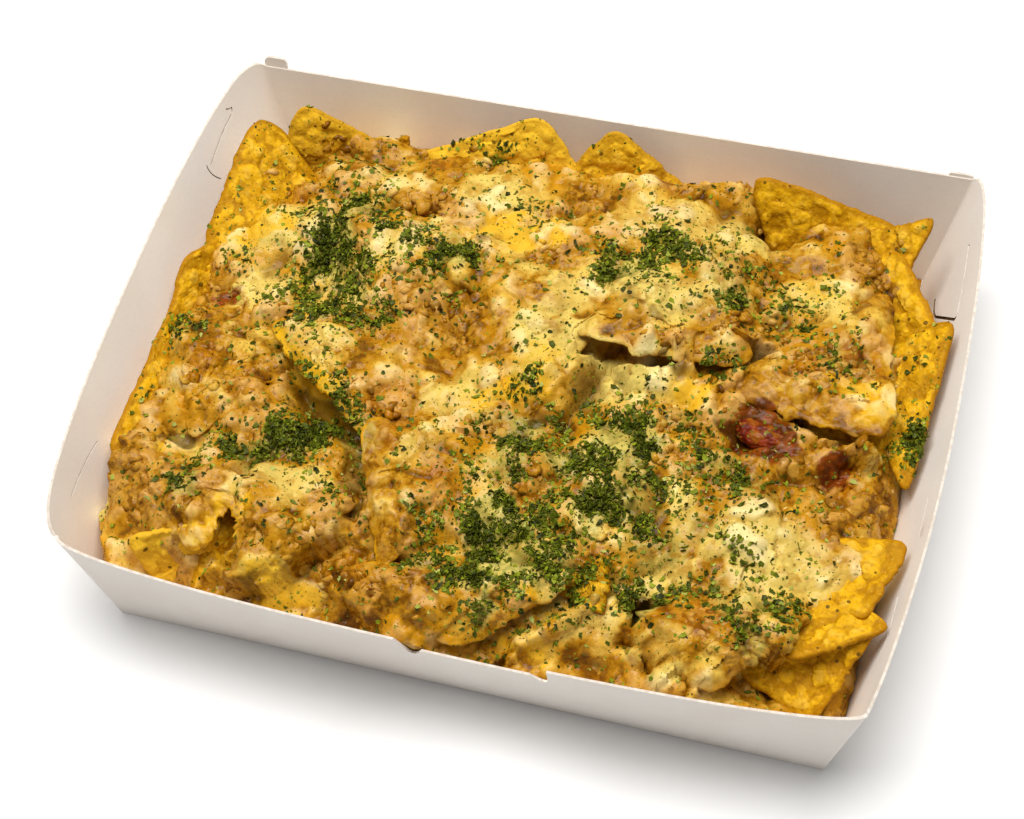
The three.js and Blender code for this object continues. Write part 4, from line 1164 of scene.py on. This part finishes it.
def bare_chip(name, chip, serial):
    mesh = BARE_DISC.copy()
    x, y, side = points_of(mesh)
    level = np.hypot(x, y)
    angle = np.arctan2(y, x)
    nibble = 0.5 * swell(np.cos(angle) * 3, np.sin(angle) * 3, 1.0, serial)
    nibble += 0.35 * swell(np.cos(angle) * 12, np.sin(angle) * 12, 1.0, serial + 9)
    place, normal, u, v = placed_on_corners(x, y, chip, grow=nibble)
    distance, kind = cells(u + 0.8 * swell(u, v, 3, 51), v, 5.4, 100 + serial)
    small, small_kind = cells(u, v + 0.4 * swell(u, v, 2, 52), 3.0, 140 + serial)
    dome = np.clip(1 - distance**2, 0, 1) ** 0.7 * smooth_step(0.25, 0.65, kind)
    beads = np.clip(1 - small**2, 0, 1) * smooth_step(0.25, 0.7, small_kind)
    fade = smooth_step(1.0, 0.82, level)
    wave = 0.55 * swell(u, v, 15, serial + 20) + 0.3 * swell(u, v, 6, serial + 40)
    upper = smooth_step(-0.5, 1.0, side) * fade
    pebble = np.clip(1 - cells(u, v, 1.9, 180 + serial)[0] ** 2, 0, 1)
    skin = 1.0 * dome + 0.4 * beads + 0.16 * pebble + 0.07 * rough(u, v, 1.4, 2, serial)
    lift = side * HALF_A_CHIP + wave * (0.4 + 0.6 * fade) + upper * skin
    store_values(mesh, "blister", np.clip(0.5 * dome + 0.6 * beads, 0, 1) * fade)
    store_values(mesh, "rim", level)
    store_values(mesh, "light", np.full(level.shape, PAINTED_LIGHT_ON_CHIPS.get(name, 0.0)))
    lift_chip(mesh, place, normal, lift)
    shade(mesh, 50)
    return link_piece("bare_" + name, mesh, CHIP, "chip", name)


bare_chips = [bare_chip(name, chip, k) for k, (name, chip) in enumerate(BARE_CHIPS.items())]
print("bare chips:", len(bare_chips), "faces each:", len(bare_chips[0].data.polygons))

# %% [markdown]
# Clods and grains
#
# Baked mince and cheese stand up in clods about as large as a pea, with grains between them. Where
# the cheese is pale it has melted into a smooth pool, so the clods sink away there. The heap and
# the chips under cheese use the same relief, so that one runs on into the other.

# %% Relief of the topping
def lumps(x, y):
    """Clods of mince and their grains, in mm. Melted cheese rounds them and fills the gaps."""
    pool = melt(x, y)
    mince = patch_strength("mince", x, y)
    bent_x, bent_y = x + 1.6 * swell(x, y, 5, 41), y + 1.6 * swell(x, y, 5, 42)
    clod, clod_kind = cells(bent_x, bent_y, 6.2, 3)
    grain, grain_kind = cells(bent_x + 0.6 * swell(x, y, 2, 43), bent_y, 3.4, 7)
    bead, bead_kind = cells(x + 0.3 * swell(x, y, 1.3, 44), bent_y, 1.9, 9)
    gap = -0.7 * (1 - 0.6 * pool)
    rise = np.clip(1 - clod**2, gap, 1) * (0.25 + 0.75 * clod_kind)
    height = (1.7 + 1.0 * mince) * rise * (1 - 0.2 * pool)
    knob, knob_kind = cells(bent_x + 1.2 * swell(x, y, 4, 45), bent_y, 7.5, 19)
    rise = np.clip(1 - knob**2, 0, 1) ** 0.8 * smooth_step(0.45, 0.8, knob_kind)
    height += 1.9 * rise * (0.3 + 0.7 * pool)
    rise = np.clip(1 - grain**2, gap / 2, 1) * (0.25 + 0.75 * grain_kind)
    height += 1.2 * rise * (1 - 0.7 * pool)
    return height + 0.3 * np.clip(1 - bead**2, -0.2, 1) * bead_kind * (1 - 0.9 * pool)


def clods(x, y):
    """Height of everything above the smooth heap, in mm."""
    pool = melt(x, y)
    height = lumps(x, y) + 2.0 * rough(x, y, 11, 2, 5)
    height = height + 0.2 * rough(x, y, 2.2, 2, 12) * (1 - 0.5 * pool)
    return height + 0.5 * pool - 1.5


def mounds(x, y):
    """Chips buried out of sight push the topping up in mounds, with creases between them (mm)."""
    mound, share = cells(x + 4 * swell(x, y, 20, 81), y + 4 * swell(x, y, 20, 82), 22, 15)
    return 5.2 * np.clip(1 - mound**2, -0.35, 1) * (0.3 + 0.7 * share) - 1.5


def relief_of(x, y):
    """What the finish reads: 0 in the gaps between clods and 1 on their tops."""
    return np.clip(0.32 + 0.19 * lumps(x, y) + 0.06 * mounds(x, y), 0, 1)


heights = clods(*np.mgrid[-90:90:1.0, -70:70:1.0])
print("clods, from and to (mm):", round(float(heights.min()), 2), round(float(heights.max()), 2))

# %% Which chip edges stand free
# Edges of chips that stand free of the cheese, with a shadow below: from x, y to x, y (mm).
FREE_EDGES = [
    (-77, -10.5, -32, -40.8), (59, 1, 104.4, -6), (104.4, -6, 96, 44.8), (19, 4, 36, 5.9),
    (51, 7.5, 62.6, 8.7), (-90, -46, -68.8, -13.6), (-71, -69, -77, -83.3), (-71, -61, -64, -78),
    (-38.2, -36.5, -22, -77.4), (83, -79, 75, -90.5), (4, -94, 31, -68.5),
]


def away_from_free_edges(x, y, near=2.0, far=6.0):
    """0 along the free edges and 1 from some way off (mm)."""
    nearest = np.full(x.shape, 99.0)
    for x0, y0, x1, y1 in FREE_EDGES:
        long_x, long_y = x1 - x0, y1 - y0
        along = ((x - x0) * long_x + (y - y0) * long_y) / (long_x ** 2 + long_y ** 2)
        along = np.clip(along, 0, 1)
        away = np.hypot(x - x0 - along * long_x, y - y0 - along * long_y)
        nearest = np.minimum(nearest, away)
    return smooth_step(near, far, nearest)


# %% Chips under melted cheese
CHEESY_DISC = chip_disc(210, 46, 0.045)


def cheesy_chip(name, chip, serial):
    mesh = CHEESY_DISC.copy()
    x, y, side = points_of(mesh)
    level = np.hypot(x, y)
    angle = np.arctan2(y, x)
    ragged = 1.6 * swell(np.cos(angle) * 2.6, np.sin(angle) * 2.6, 1.0, serial + 60)
    ragged += 1.0 * swell(np.cos(angle) * 9, np.sin(angle) * 9, 1.0, serial + 70)
    ragged += 0.3 * swell(np.cos(angle) * 24, np.sin(angle) * 24, 1.0, serial + 75)
    corners, bend, power = chip
    blunt = (corners, bend, min(power, 4))
    place, normal, u, v = placed_on_corners(x, y, blunt, grow=ragged)
    upper = smooth_step(-0.2, 1.0, side)
    sunk = away_from_free_edges(place[0], place[1])
    fade = smooth_step(1.02, 0.70 + 0.14 * sunk, level)
    droop = (0.5 + 0.9 * sunk) * smooth_step(0.60, 1.0, level) ** 2
    body = np.where(side > 0, 1.0, 0.8) * side * (1 - 0.4 * smooth_step(0.75, 0.97, level))
    body += 0.5 * swell(u, v, 12, serial + 80)
    body += 0.35 * swell(u, v, 8, serial + 90) * smooth_step(0.7, 0.95, level)
    grain = clods(place[0], place[1])
    lift = body + upper * (0.95 * grain + 0.6) * (0.12 + 0.88 * fade) - droop
    wiped = smooth_step(-0.35, 0.35, swell(u, v, 9, serial + 95)) * smooth_step(0.86, 1.0, level)
    store_values(mesh, "bare", np.maximum(1 - upper, (1 - sunk) * wiped))
    store_values(mesh, "relief", relief_of(place[0], place[1]))
    lift_chip(mesh, place, normal, lift)
    store_patches(mesh, leave_out=("shade",))
    shade(mesh, 60)
    return link_piece("cheese_on_" + name.removeprefix("cheesy_"), mesh, TOPPING, "cheese", name)


cheesy_chips = [cheesy_chip(name, chip, k) for k, (name, chip) in enumerate(CHEESY_CHIPS.items())]
print("cheesy chips:", len(cheesy_chips), "faces each:", len(cheesy_chips[0].data.polygons))

# %% [markdown]
# The heap
#
# Under the loose chips lies one baked heap that fills the tray from wall to wall. A grid is bent
# to the outline of the walls and lifted to the heap's height. Where a chip under cheese lies on
# it, the heap passes just below. Its edge goes straight down the walls to the floor, so that it is
# a closed body.

# %% Height of the heap
# x, y, reach along x, reach along y (mm), turn (degrees), rise (mm)
RELIEF = [
    (40, 32, 30, 22, 0, 2.5), (75, -48, 26, 16, 0, 3.5), (-88, 27, 16, 14, 0, 2),
    (-104, -58, 9, 12, 0, 6), (15, -45, 16, 12, 0, 3), (84, 20, 14, 12, 0, 3),
    (-56, -30, 21, 6, -27, -9), (-96, -47, 9, 4, -10, -7), (-71, -70, 6, 11, 0, -8),
    (60, 63, 5, 5, 0, -13), (37, 4, 11, 5, 0, -9), (61, 13, 9, 4, 10, -8), (88, -3, 12, 4, -8, -8),
    (68, -12, 9, 5, 0, -5), (-70, 24, 5, 16, 0, -5), (-88, 58, 10, 7, 0, -6),
    (-1, 57, 4, 8, 0, -5), (38, 72, 16, 8, 0, 4), (-39, -62, 6, 20, 0, -6), (50, -72, 6, 8, 0, -6),
    (106, 38, 6, 11, 0, -9), (-86, -90, 11, 8, 0, -12), (104, -84, 14, 10, 0, -10),
    (116, -64, 6, 18, 0, -7), (90, -77, 15, 7, 25, -9),
]


def heap_height(x, y):
    across = np.clip(1 - np.abs(x / 118) ** 3, 0, 1)
    along = np.clip(1 - np.abs((y + 2) / 92) ** 3, 0, 1)
    height = 30 + 14 * across * along
    for patch in RELIEF:
        u, v = turned(x, y, patch)
        height = height + patch[-1] * np.exp(-(u * u + v * v))
    height = height + mounds(x, y)
    # It slopes down to the walls, most of all in the corners.
    height -= 1.3 * np.maximum(0, y - 72 - 0.07 * np.maximum(0, x))
    height -= 1.2 * np.maximum(0, x - 104)
    height -= 0.9 * np.maximum(0, -108 - x)
    height -= 2.2 * np.maximum(0, -x * 0.8 - y * 0.6 - 135)
    height -= 1.1 * np.maximum(0, -x * 0.8 + y * 0.6 - 122)
    height -= 3.2 * np.maximum(0, x * 0.77 + y * 0.64 - 109)
    return height


def between_walls(u, v, height):
    """A place in the heap, u from -1 at the left to 1 at the right and v from front to back."""
    h = height / WALL_HEIGHT
    half_width, front, back = wall_lines(h, HEAP_GAP)
    right_bulge = BOW["right"] * np.where(v > 0, bulge(v), 1 - v * v)
    x = u * half_width + np.where(u > 0, u * right_bulge, u * BOW["left"] * bulge(v)) * h
    y = (front + back) / 2 + v * (back - front) / 2 + np.minimum(v, 0) * BOW["front"] * bulge(u) * h
    return x, y


# %% Making the heap
def ray_tree(pieces):
    """One search tree for all the faces of several pieces."""
    corners, faces = [], []
    for piece in pieces:
        first = len(corners)
        corners += [v.co.copy() for v in piece.data.vertices]
        faces += [[first + i for i in p.vertices] for p in piece.data.polygons]
    return BVHTree.FromPolygons(corners, faces)


CELLS_ACROSS, CELLS_ALONG = 352, 264
FLOOR_LEVEL = BOARD_THICKNESS + 0.35
FIRST_GUESS = 30.0  # mm, a height to begin with when the heap is fitted between sloping walls


def fused(first, second, reach):
    """The higher of two heights, with a round hollow of the given reach where they meet."""
    overlap = max(reach - abs(first - second), 0) / reach
    return max(first, second) + overlap * overlap * reach / 4


def make_heap():
    bm = bmesh.new()
    bmesh.ops.create_grid(bm, x_segments=CELLS_ACROSS, y_segments=CELLS_ALONG, size=1.0)
    rim_edges = [e for e in bm.edges if e.is_boundary]
    grown = bmesh.ops.extrude_edge_only(bm, edges=rim_edges)
    low_edges = [g for g in grown["geom"] if isinstance(g, bmesh.types.BMEdge) and g.is_boundary]
    low_points = {v for e in low_edges for v in e.verts}
    bmesh.ops.translate(bm, verts=list(low_points), vec=(0, 0, -1))
    bmesh.ops.edgeloop_fill(bm, edges=low_edges)
    bmesh.ops.recalc_face_normals(bm, faces=bm.faces)
    mesh = mesh_from(bm, "heap")
    chips = ray_tree(cheesy_chips)

    def shape(u, v, flag):
        low = flag < -0.5
        z = np.full(u.shape, FIRST_GUESS)
        for _ in range(3):
            x, y = between_walls(u, v, z)
            z = np.clip(heap_height(x, y) + clods(x, y), FLOOR_LEVEL + 0.4, 60)
        grain = clods(x, y)
        frayed = 2.5 * swell(x, y, 7, 78) + 1.5 * swell(x, y, 3, 79)
        flow = away_from_free_edges(x + frayed, y + frayed, 4.0, 8.0)
        for i in np.flatnonzero(~low):
            place = Vector((x[i] + MIDDLE[0], y[i] + MIDDLE[1], 0)) * MM
            under = chips.ray_cast(place, Vector((0, 0, 1)))[0]
            if under is not None:
                place.z = 0.12
                over = chips.ray_cast(place, Vector((0, 0, -1)))[0].z / MM
                if flow[i] > 0.5:
                    z[i] = fused(z[i], over + 0.35, 1.5)
                elif under.z / MM - 0.5 < z[i] < over + 1.0:
                    z[i] = under.z / MM - 0.5
                continue
            place.z = z[i] * MM
            edge = chips.find_nearest(place, 10 * MM)[0]
            if edge is not None and flow[i] > 0:
                off = math.hypot(edge.x - place.x, edge.y - place.y) / MM
                cheese = edge.z / MM + 2.0 - 0.45 * off + 0.8 * grain[i]
                z[i] += (fused(z[i], cheese, 3.0) - z[i]) * flow[i] * max(0, 1 - (off / 10) ** 2)
        z = np.where(low, FLOOR_LEVEL, z)
        x, y = between_walls(u, v, z)
        return in_frame(x, y, z)

    move_points(mesh, shape)
    x, y, _ = points_of(mesh) / MM - MIDDLE[:, None]
    store_values(mesh, "relief", relief_of(x, y))
    store_patches(mesh)
    shade(mesh, 75)
    return link_piece("baked_heap", mesh, TOPPING, "topping", "heap")


heap = make_heap()
print("heap faces:", len(heap.data.polygons))

# %% [markdown]
# The piece of tomato
#
# One soft piece of tomato lies open in the sauce. It is a squashed ball whose skin has wrinkled.

# %% Tomato
# place and turn in the heap, and half the length, width and height (mm)
TOMATO_PIECE = {"x": 71, "y": -12, "turn": -12, "half_size": (8, 4.5, 3)}


def make_tomato():
    bm = bmesh.new()
    bmesh.ops.create_icosphere(bm, subdivisions=5, radius=1.0)
    mesh = mesh_from(bm, "tomato")
    middle_x, middle_y = TOMATO_PIECE["x"], TOMATO_PIECE["y"]
    turn = math.radians(TOMATO_PIECE["turn"])
    half_length, half_width, half_height = TOMATO_PIECE["half_size"]
    level = float(heap_height(np.array([middle_x * 1.0]), np.array([middle_y * 1.0]))[0]) + 1.0

    def shape(x, y, z):
        wrinkle = 1 + 0.12 * swell(x * 8 + z * 3, y * 6, 3, 5)
        wrinkle = wrinkle + 0.05 * swell(x * 14, y * 14 + z * 9, 2, 8)
        x, y, z = x * half_length * wrinkle, y * half_width * wrinkle, z * half_height * wrinkle
        turned_x = x * math.cos(turn) - y * math.sin(turn) + middle_x
        turned_y = x * math.sin(turn) + y * math.cos(turn) + middle_y
        return in_frame(turned_x, turned_y, z + level)

    move_points(mesh, shape)
    shade(mesh, 80)
    return link_piece("tomato_piece_soft", mesh, TOMATO, "tomato", "tomato_piece")


tomato = make_tomato()
low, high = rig.box("tomato_piece")
print("tomato in the measured model:", [round(v / MM, 1) for v in (*low, *high)])

# %% [markdown]
# Crumbs and parsley
#
# Loose clumps of mince and crumbs of cheese lie on everything, and dried parsley was strewn over
# it all before baking. Each is a few plain shapes, set many times over: a list of places becomes
# points, and geometry nodes set one of the shapes on every point and make them real. Places are
# drawn at random, kept more often where the patches ask for it, and dropped onto whatever lies
# below.

# %% Setting a shape on every point
def scatter_group(name, kinds):
    group = bpy.data.node_groups.new(name, "GeometryNodeTree")
    group.interface.new_socket("Geometry", in_out="INPUT", socket_type="NodeSocketGeometry")
    group.interface.new_socket("Geometry", in_out="OUTPUT", socket_type="NodeSocketGeometry")
    nodes, links = group.nodes, group.links
    entry, leave = nodes.new("NodeGroupInput"), nodes.new("NodeGroupOutput")
    shapes = nodes.new("GeometryNodeCollectionInfo")
    shapes.inputs["Collection"].default_value = kinds
    shapes.inputs["Separate Children"].default_value = True
    shapes.inputs["Reset Children"].default_value = True
    turn, size, kind = (nodes.new("GeometryNodeInputNamedAttribute") for _ in range(3))
    turn.data_type, size.data_type, kind.data_type = "FLOAT_VECTOR", "FLOAT_VECTOR", "INT"
    for node, label in ((turn, "turn"), (size, "size"), (kind, "kind")):
        node.inputs["Name"].default_value = label
    rotation = nodes.new("FunctionNodeEulerToRotation")
    set_down = nodes.new("GeometryNodeInstanceOnPoints")
    set_down.inputs["Pick Instance"].default_value = True
    real = nodes.new("GeometryNodeRealizeInstances")
    links.new(entry.outputs["Geometry"], set_down.inputs["Points"])
    links.new(shapes.outputs[0], set_down.inputs["Instance"])
    links.new(kind.outputs["Attribute"], set_down.inputs["Instance Index"])
    links.new(turn.outputs["Attribute"], rotation.inputs[0])
    links.new(rotation.outputs[0], set_down.inputs["Rotation"])
    links.new(size.outputs["Attribute"], set_down.inputs["Scale"])
    links.new(set_down.outputs["Instances"], real.inputs["Geometry"])
    links.new(real.outputs["Geometry"], leave.inputs["Geometry"])
    return group


def strewn(name, shapes, spots):
    """One mesh of many shapes. A spot is (place, rotation, size, tone) in metres of the frame."""
    kinds = bpy.data.collections.new(name + "_shapes")
    for mesh in shapes:
        kinds.objects.link(bpy.data.objects.new(mesh.name, mesh))
    points = bpy.data.meshes.new(name)
    points.from_pydata([spot[0] for spot in spots], [], [])
    for label, kind, values in (
        ("turn", "FLOAT_VECTOR", [c for spot in spots for c in spot[1].to_euler()]),
        ("size", "FLOAT_VECTOR", [c for spot in spots for c in spot[2]]),
        ("tone", "FLOAT", [spot[3] for spot in spots]),
        ("kind", "INT", [i % len(shapes) for i in range(len(spots))]),
    ):
        layer = points.attributes.new(label, kind, "POINT")
        layer.data.foreach_set("vector" if kind == "FLOAT_VECTOR" else "value", values)
    holder = linked(name, points)
    modifier = holder.modifiers.new("set down", "NODES")
    modifier.node_group = scatter_group(name, kinds)
    ready = holder.evaluated_get(bpy.context.evaluated_depsgraph_get())
    result = bpy.data.meshes.new_from_object(ready)
    bpy.data.objects.remove(holder)
    for shape in list(kinds.objects):
        bpy.data.objects.remove(shape)
    bpy.data.collections.remove(kinds)
    for label in ("turn", "size", "kind"):
        if label in result.attributes:
            result.attributes.remove(result.attributes[label])
    return result


SURFACE = ray_tree(bare_chips + cheesy_chips + [heap, tomato])
DROP_FROM = 120  # mm above the floor
LOWEST = {"crumb": 12, "flake": 8}  # mm, nothing comes to lie lower than this beside the heap


def drop(x, y):
    """Where something dropped at a place comes to lie, and which way the surface faces there."""
    start = Vector((x + MIDDLE[0], y + MIDDLE[1], DROP_FROM)) * MM
    return SURFACE.ray_cast(start, Vector((0, 0, -1)))[:2]


print("faces that things can fall on:", sum(
    len(piece.data.polygons) for piece in bare_chips + cheesy_chips + [heap, tomato]
))

# %% Crumbs of mince and cheese
def crumb_shape(serial):
    bm = bmesh.new()
    bmesh.ops.create_uvsphere(bm, u_segments=7, v_segments=5, radius=1.0)
    mesh = mesh_from(bm, f"crumb_{serial}")

    def shape(x, y, z):
        uneven = 1 + 0.42 * swell(x * 3 + z, y * 3 - z, 2.2, serial)
        uneven += 0.3 * swell(x * 5, y * 5 + z * 4, 1.6, serial + 5)
        return x * uneven * 1.15, y * uneven * 0.9, z * uneven * 0.8

    move_points(mesh, shape)
    mesh.shade_smooth()
    return mesh


def crumb_spots(count, seed):
    """Places for crumbs, close together where there is mince and few where cheese has pooled."""
    dice = random.Random(seed)
    spots = []
    tries = count * 8
    x = np.array([dice.uniform(-115, 115) for _ in range(tries)])
    y = np.array([dice.uniform(-96, 88) for _ in range(tries)])
    mince, pool = patch_strength("mince", x, y), patch_strength("pale", x, y)
    clumps = smooth_step(-0.5, 0.6, rough(x, y, 9, 2, 17))
    wanted = (0.01 + 0.8 * mince) * (0.15 + 0.85 * clumps) * (1 - 0.85 * pool)
    for i in np.flatnonzero(np.array([dice.random() for _ in range(tries)]) < wanted):
        if len(spots) == count:
            break
        place, normal = drop(x[i], y[i])
        if place is None or place.z / MM < LOWEST["crumb"] or normal.z < 0.3:
            continue
        size = dice.uniform(0.8, 1.6) + 1.5 * mince[i] * dice.random() ** 2
        turn = Matrix.Rotation(dice.uniform(0, math.tau), 3, "Z")
        turn = turn @ Matrix.Rotation(dice.uniform(-0.6, 0.6), 3, "X")
        scale = Vector((1, dice.uniform(0.7, 1.1), dice.uniform(0.6, 1.0))) * size * MM
        sunk = place - normal * size * 0.4 * MM
        spots.append((sunk, turn.to_quaternion(), scale, dice.random()))
    return spots


crumb_mesh = strewn("crumbs", [crumb_shape(k) for k in range(8)], crumb_spots(1500, SEED))
tones = [tone.value for tone in crumb_mesh.attributes["tone"].data]
store_values(crumb_mesh, "relief", [0.35 + 0.45 * tone for tone in tones])
store_patches(crumb_mesh)
link_piece("mince_and_cheese_crumbs", crumb_mesh, TOPPING, "topping", "heap")
print("crumb faces:", len(crumb_mesh.polygons))

# %% Parsley
def flake_shape(serial):
    dice = random.Random(serial)
    bm = bmesh.new()
    made = bmesh.ops.create_circle(bm, cap_ends=True, segments=5, radius=0.5)
    for corner in made["verts"]:
        corner.co *= dice.uniform(0.5, 1.35)
        corner.co.z = dice.uniform(-0.26, 0.26)
    grown = bmesh.ops.extrude_face_region(bm, geom=bm.faces[:])
    far = [g for g in grown["geom"] if isinstance(g, bmesh.types.BMVert)]
    bmesh.ops.translate(bm, verts=far, vec=(0, 0, 0.10))
    bmesh.ops.triangulate(bm, faces=bm.faces)
    bmesh.ops.recalc_face_normals(bm, faces=bm.faces)
    return mesh_from(bm, f"flake_{serial}")


def flake_spots(count, seed, sizes, tones, base):
    """Places for parsley, close together where it was strewn thickly."""
    dice = random.Random(seed)
    spots = []
    tries = count * 12
    x = np.array([dice.uniform(-117, 117) for _ in range(tries)])
    y = np.array([dice.uniform(-97, 88) for _ in range(tries)])
    strength = patch_strength("parsley", x, y)
    outskirts = patch_strength("parsley", x, y, 2.3)
    clumps = smooth_step(-0.35, 0.55, rough(x, y, 6, 3, 91))
    thick = 0.62 * strength * clumps + 0.32 * outskirts**1.7 * (0.1 + 0.9 * clumps)
    wanted = base + (1 - base) * thick
    for i in np.flatnonzero(np.array([dice.random() for _ in range(tries)]) < wanted):
        if len(spots) == count:
            break
        place, normal = drop(x[i], y[i])
        if place is None or place.z / MM < LOWEST["flake"] or normal.z < 0.2:
            continue
        size = dice.uniform(*sizes)
        loose = 0.25 + 0.6 * strength[i]
        tilt = Matrix.Rotation(dice.gauss(0, loose), 3, "X")
        tilt = tilt @ Matrix.Rotation(dice.gauss(0, loose), 3, "Y")
        spin = Matrix.Rotation(dice.uniform(0, math.tau), 3, "Z")
        turn = normal.to_track_quat("Z", "Y").to_matrix() @ tilt @ spin
        scale = Vector((size, size * dice.uniform(0.45, 0.9), size * dice.uniform(0.5, 1.1))) * MM
        raised = 0.05 + 2.0 * strength[i] * clumps[i] * dice.random()
        # Flakes deep in thick clumps are darker, painted shade among them, over a tone drawn at random.
        tone = dice.uniform(*tones) * (1 - 0.45 * strength[i] * clumps[i])
        spots.append((place + normal * raised * MM, turn.to_quaternion(), scale, tone))
    return spots


FLAKE_SHAPES = 9
for name, count, seed, sizes, tones, base in (
    ("parsley_dark", 11500, SEED + 1, (0.7, 2.6), (0.0, 0.6), 0.007),
    ("parsley_light", 11500, SEED + 2, (0.6, 2.2), (0.3, 1.05), 0.012),
    ("parsley_dust", 11500, SEED + 3, (0.25, 0.8), (0.1, 0.8), 0.07),
):
    spots = flake_spots(count, seed, sizes, tones, base)
    flake_mesh = strewn(name, [flake_shape(k) for k in range(FLAKE_SHAPES)], spots)
    link_piece(name, flake_mesh, PARSLEY, "topping", "heap")
    print(name, "faces:", len(flake_mesh.polygons))

# %% Sizes and finish
json.dump(
    {"cad": [list(map(float, corner)) for corner in CAD_BOX],
     "visual": [list(map(float, corner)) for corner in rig.bounds()]},
    open("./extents.json", "w"),
)
print("sizes:", json.load(open("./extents.json")))
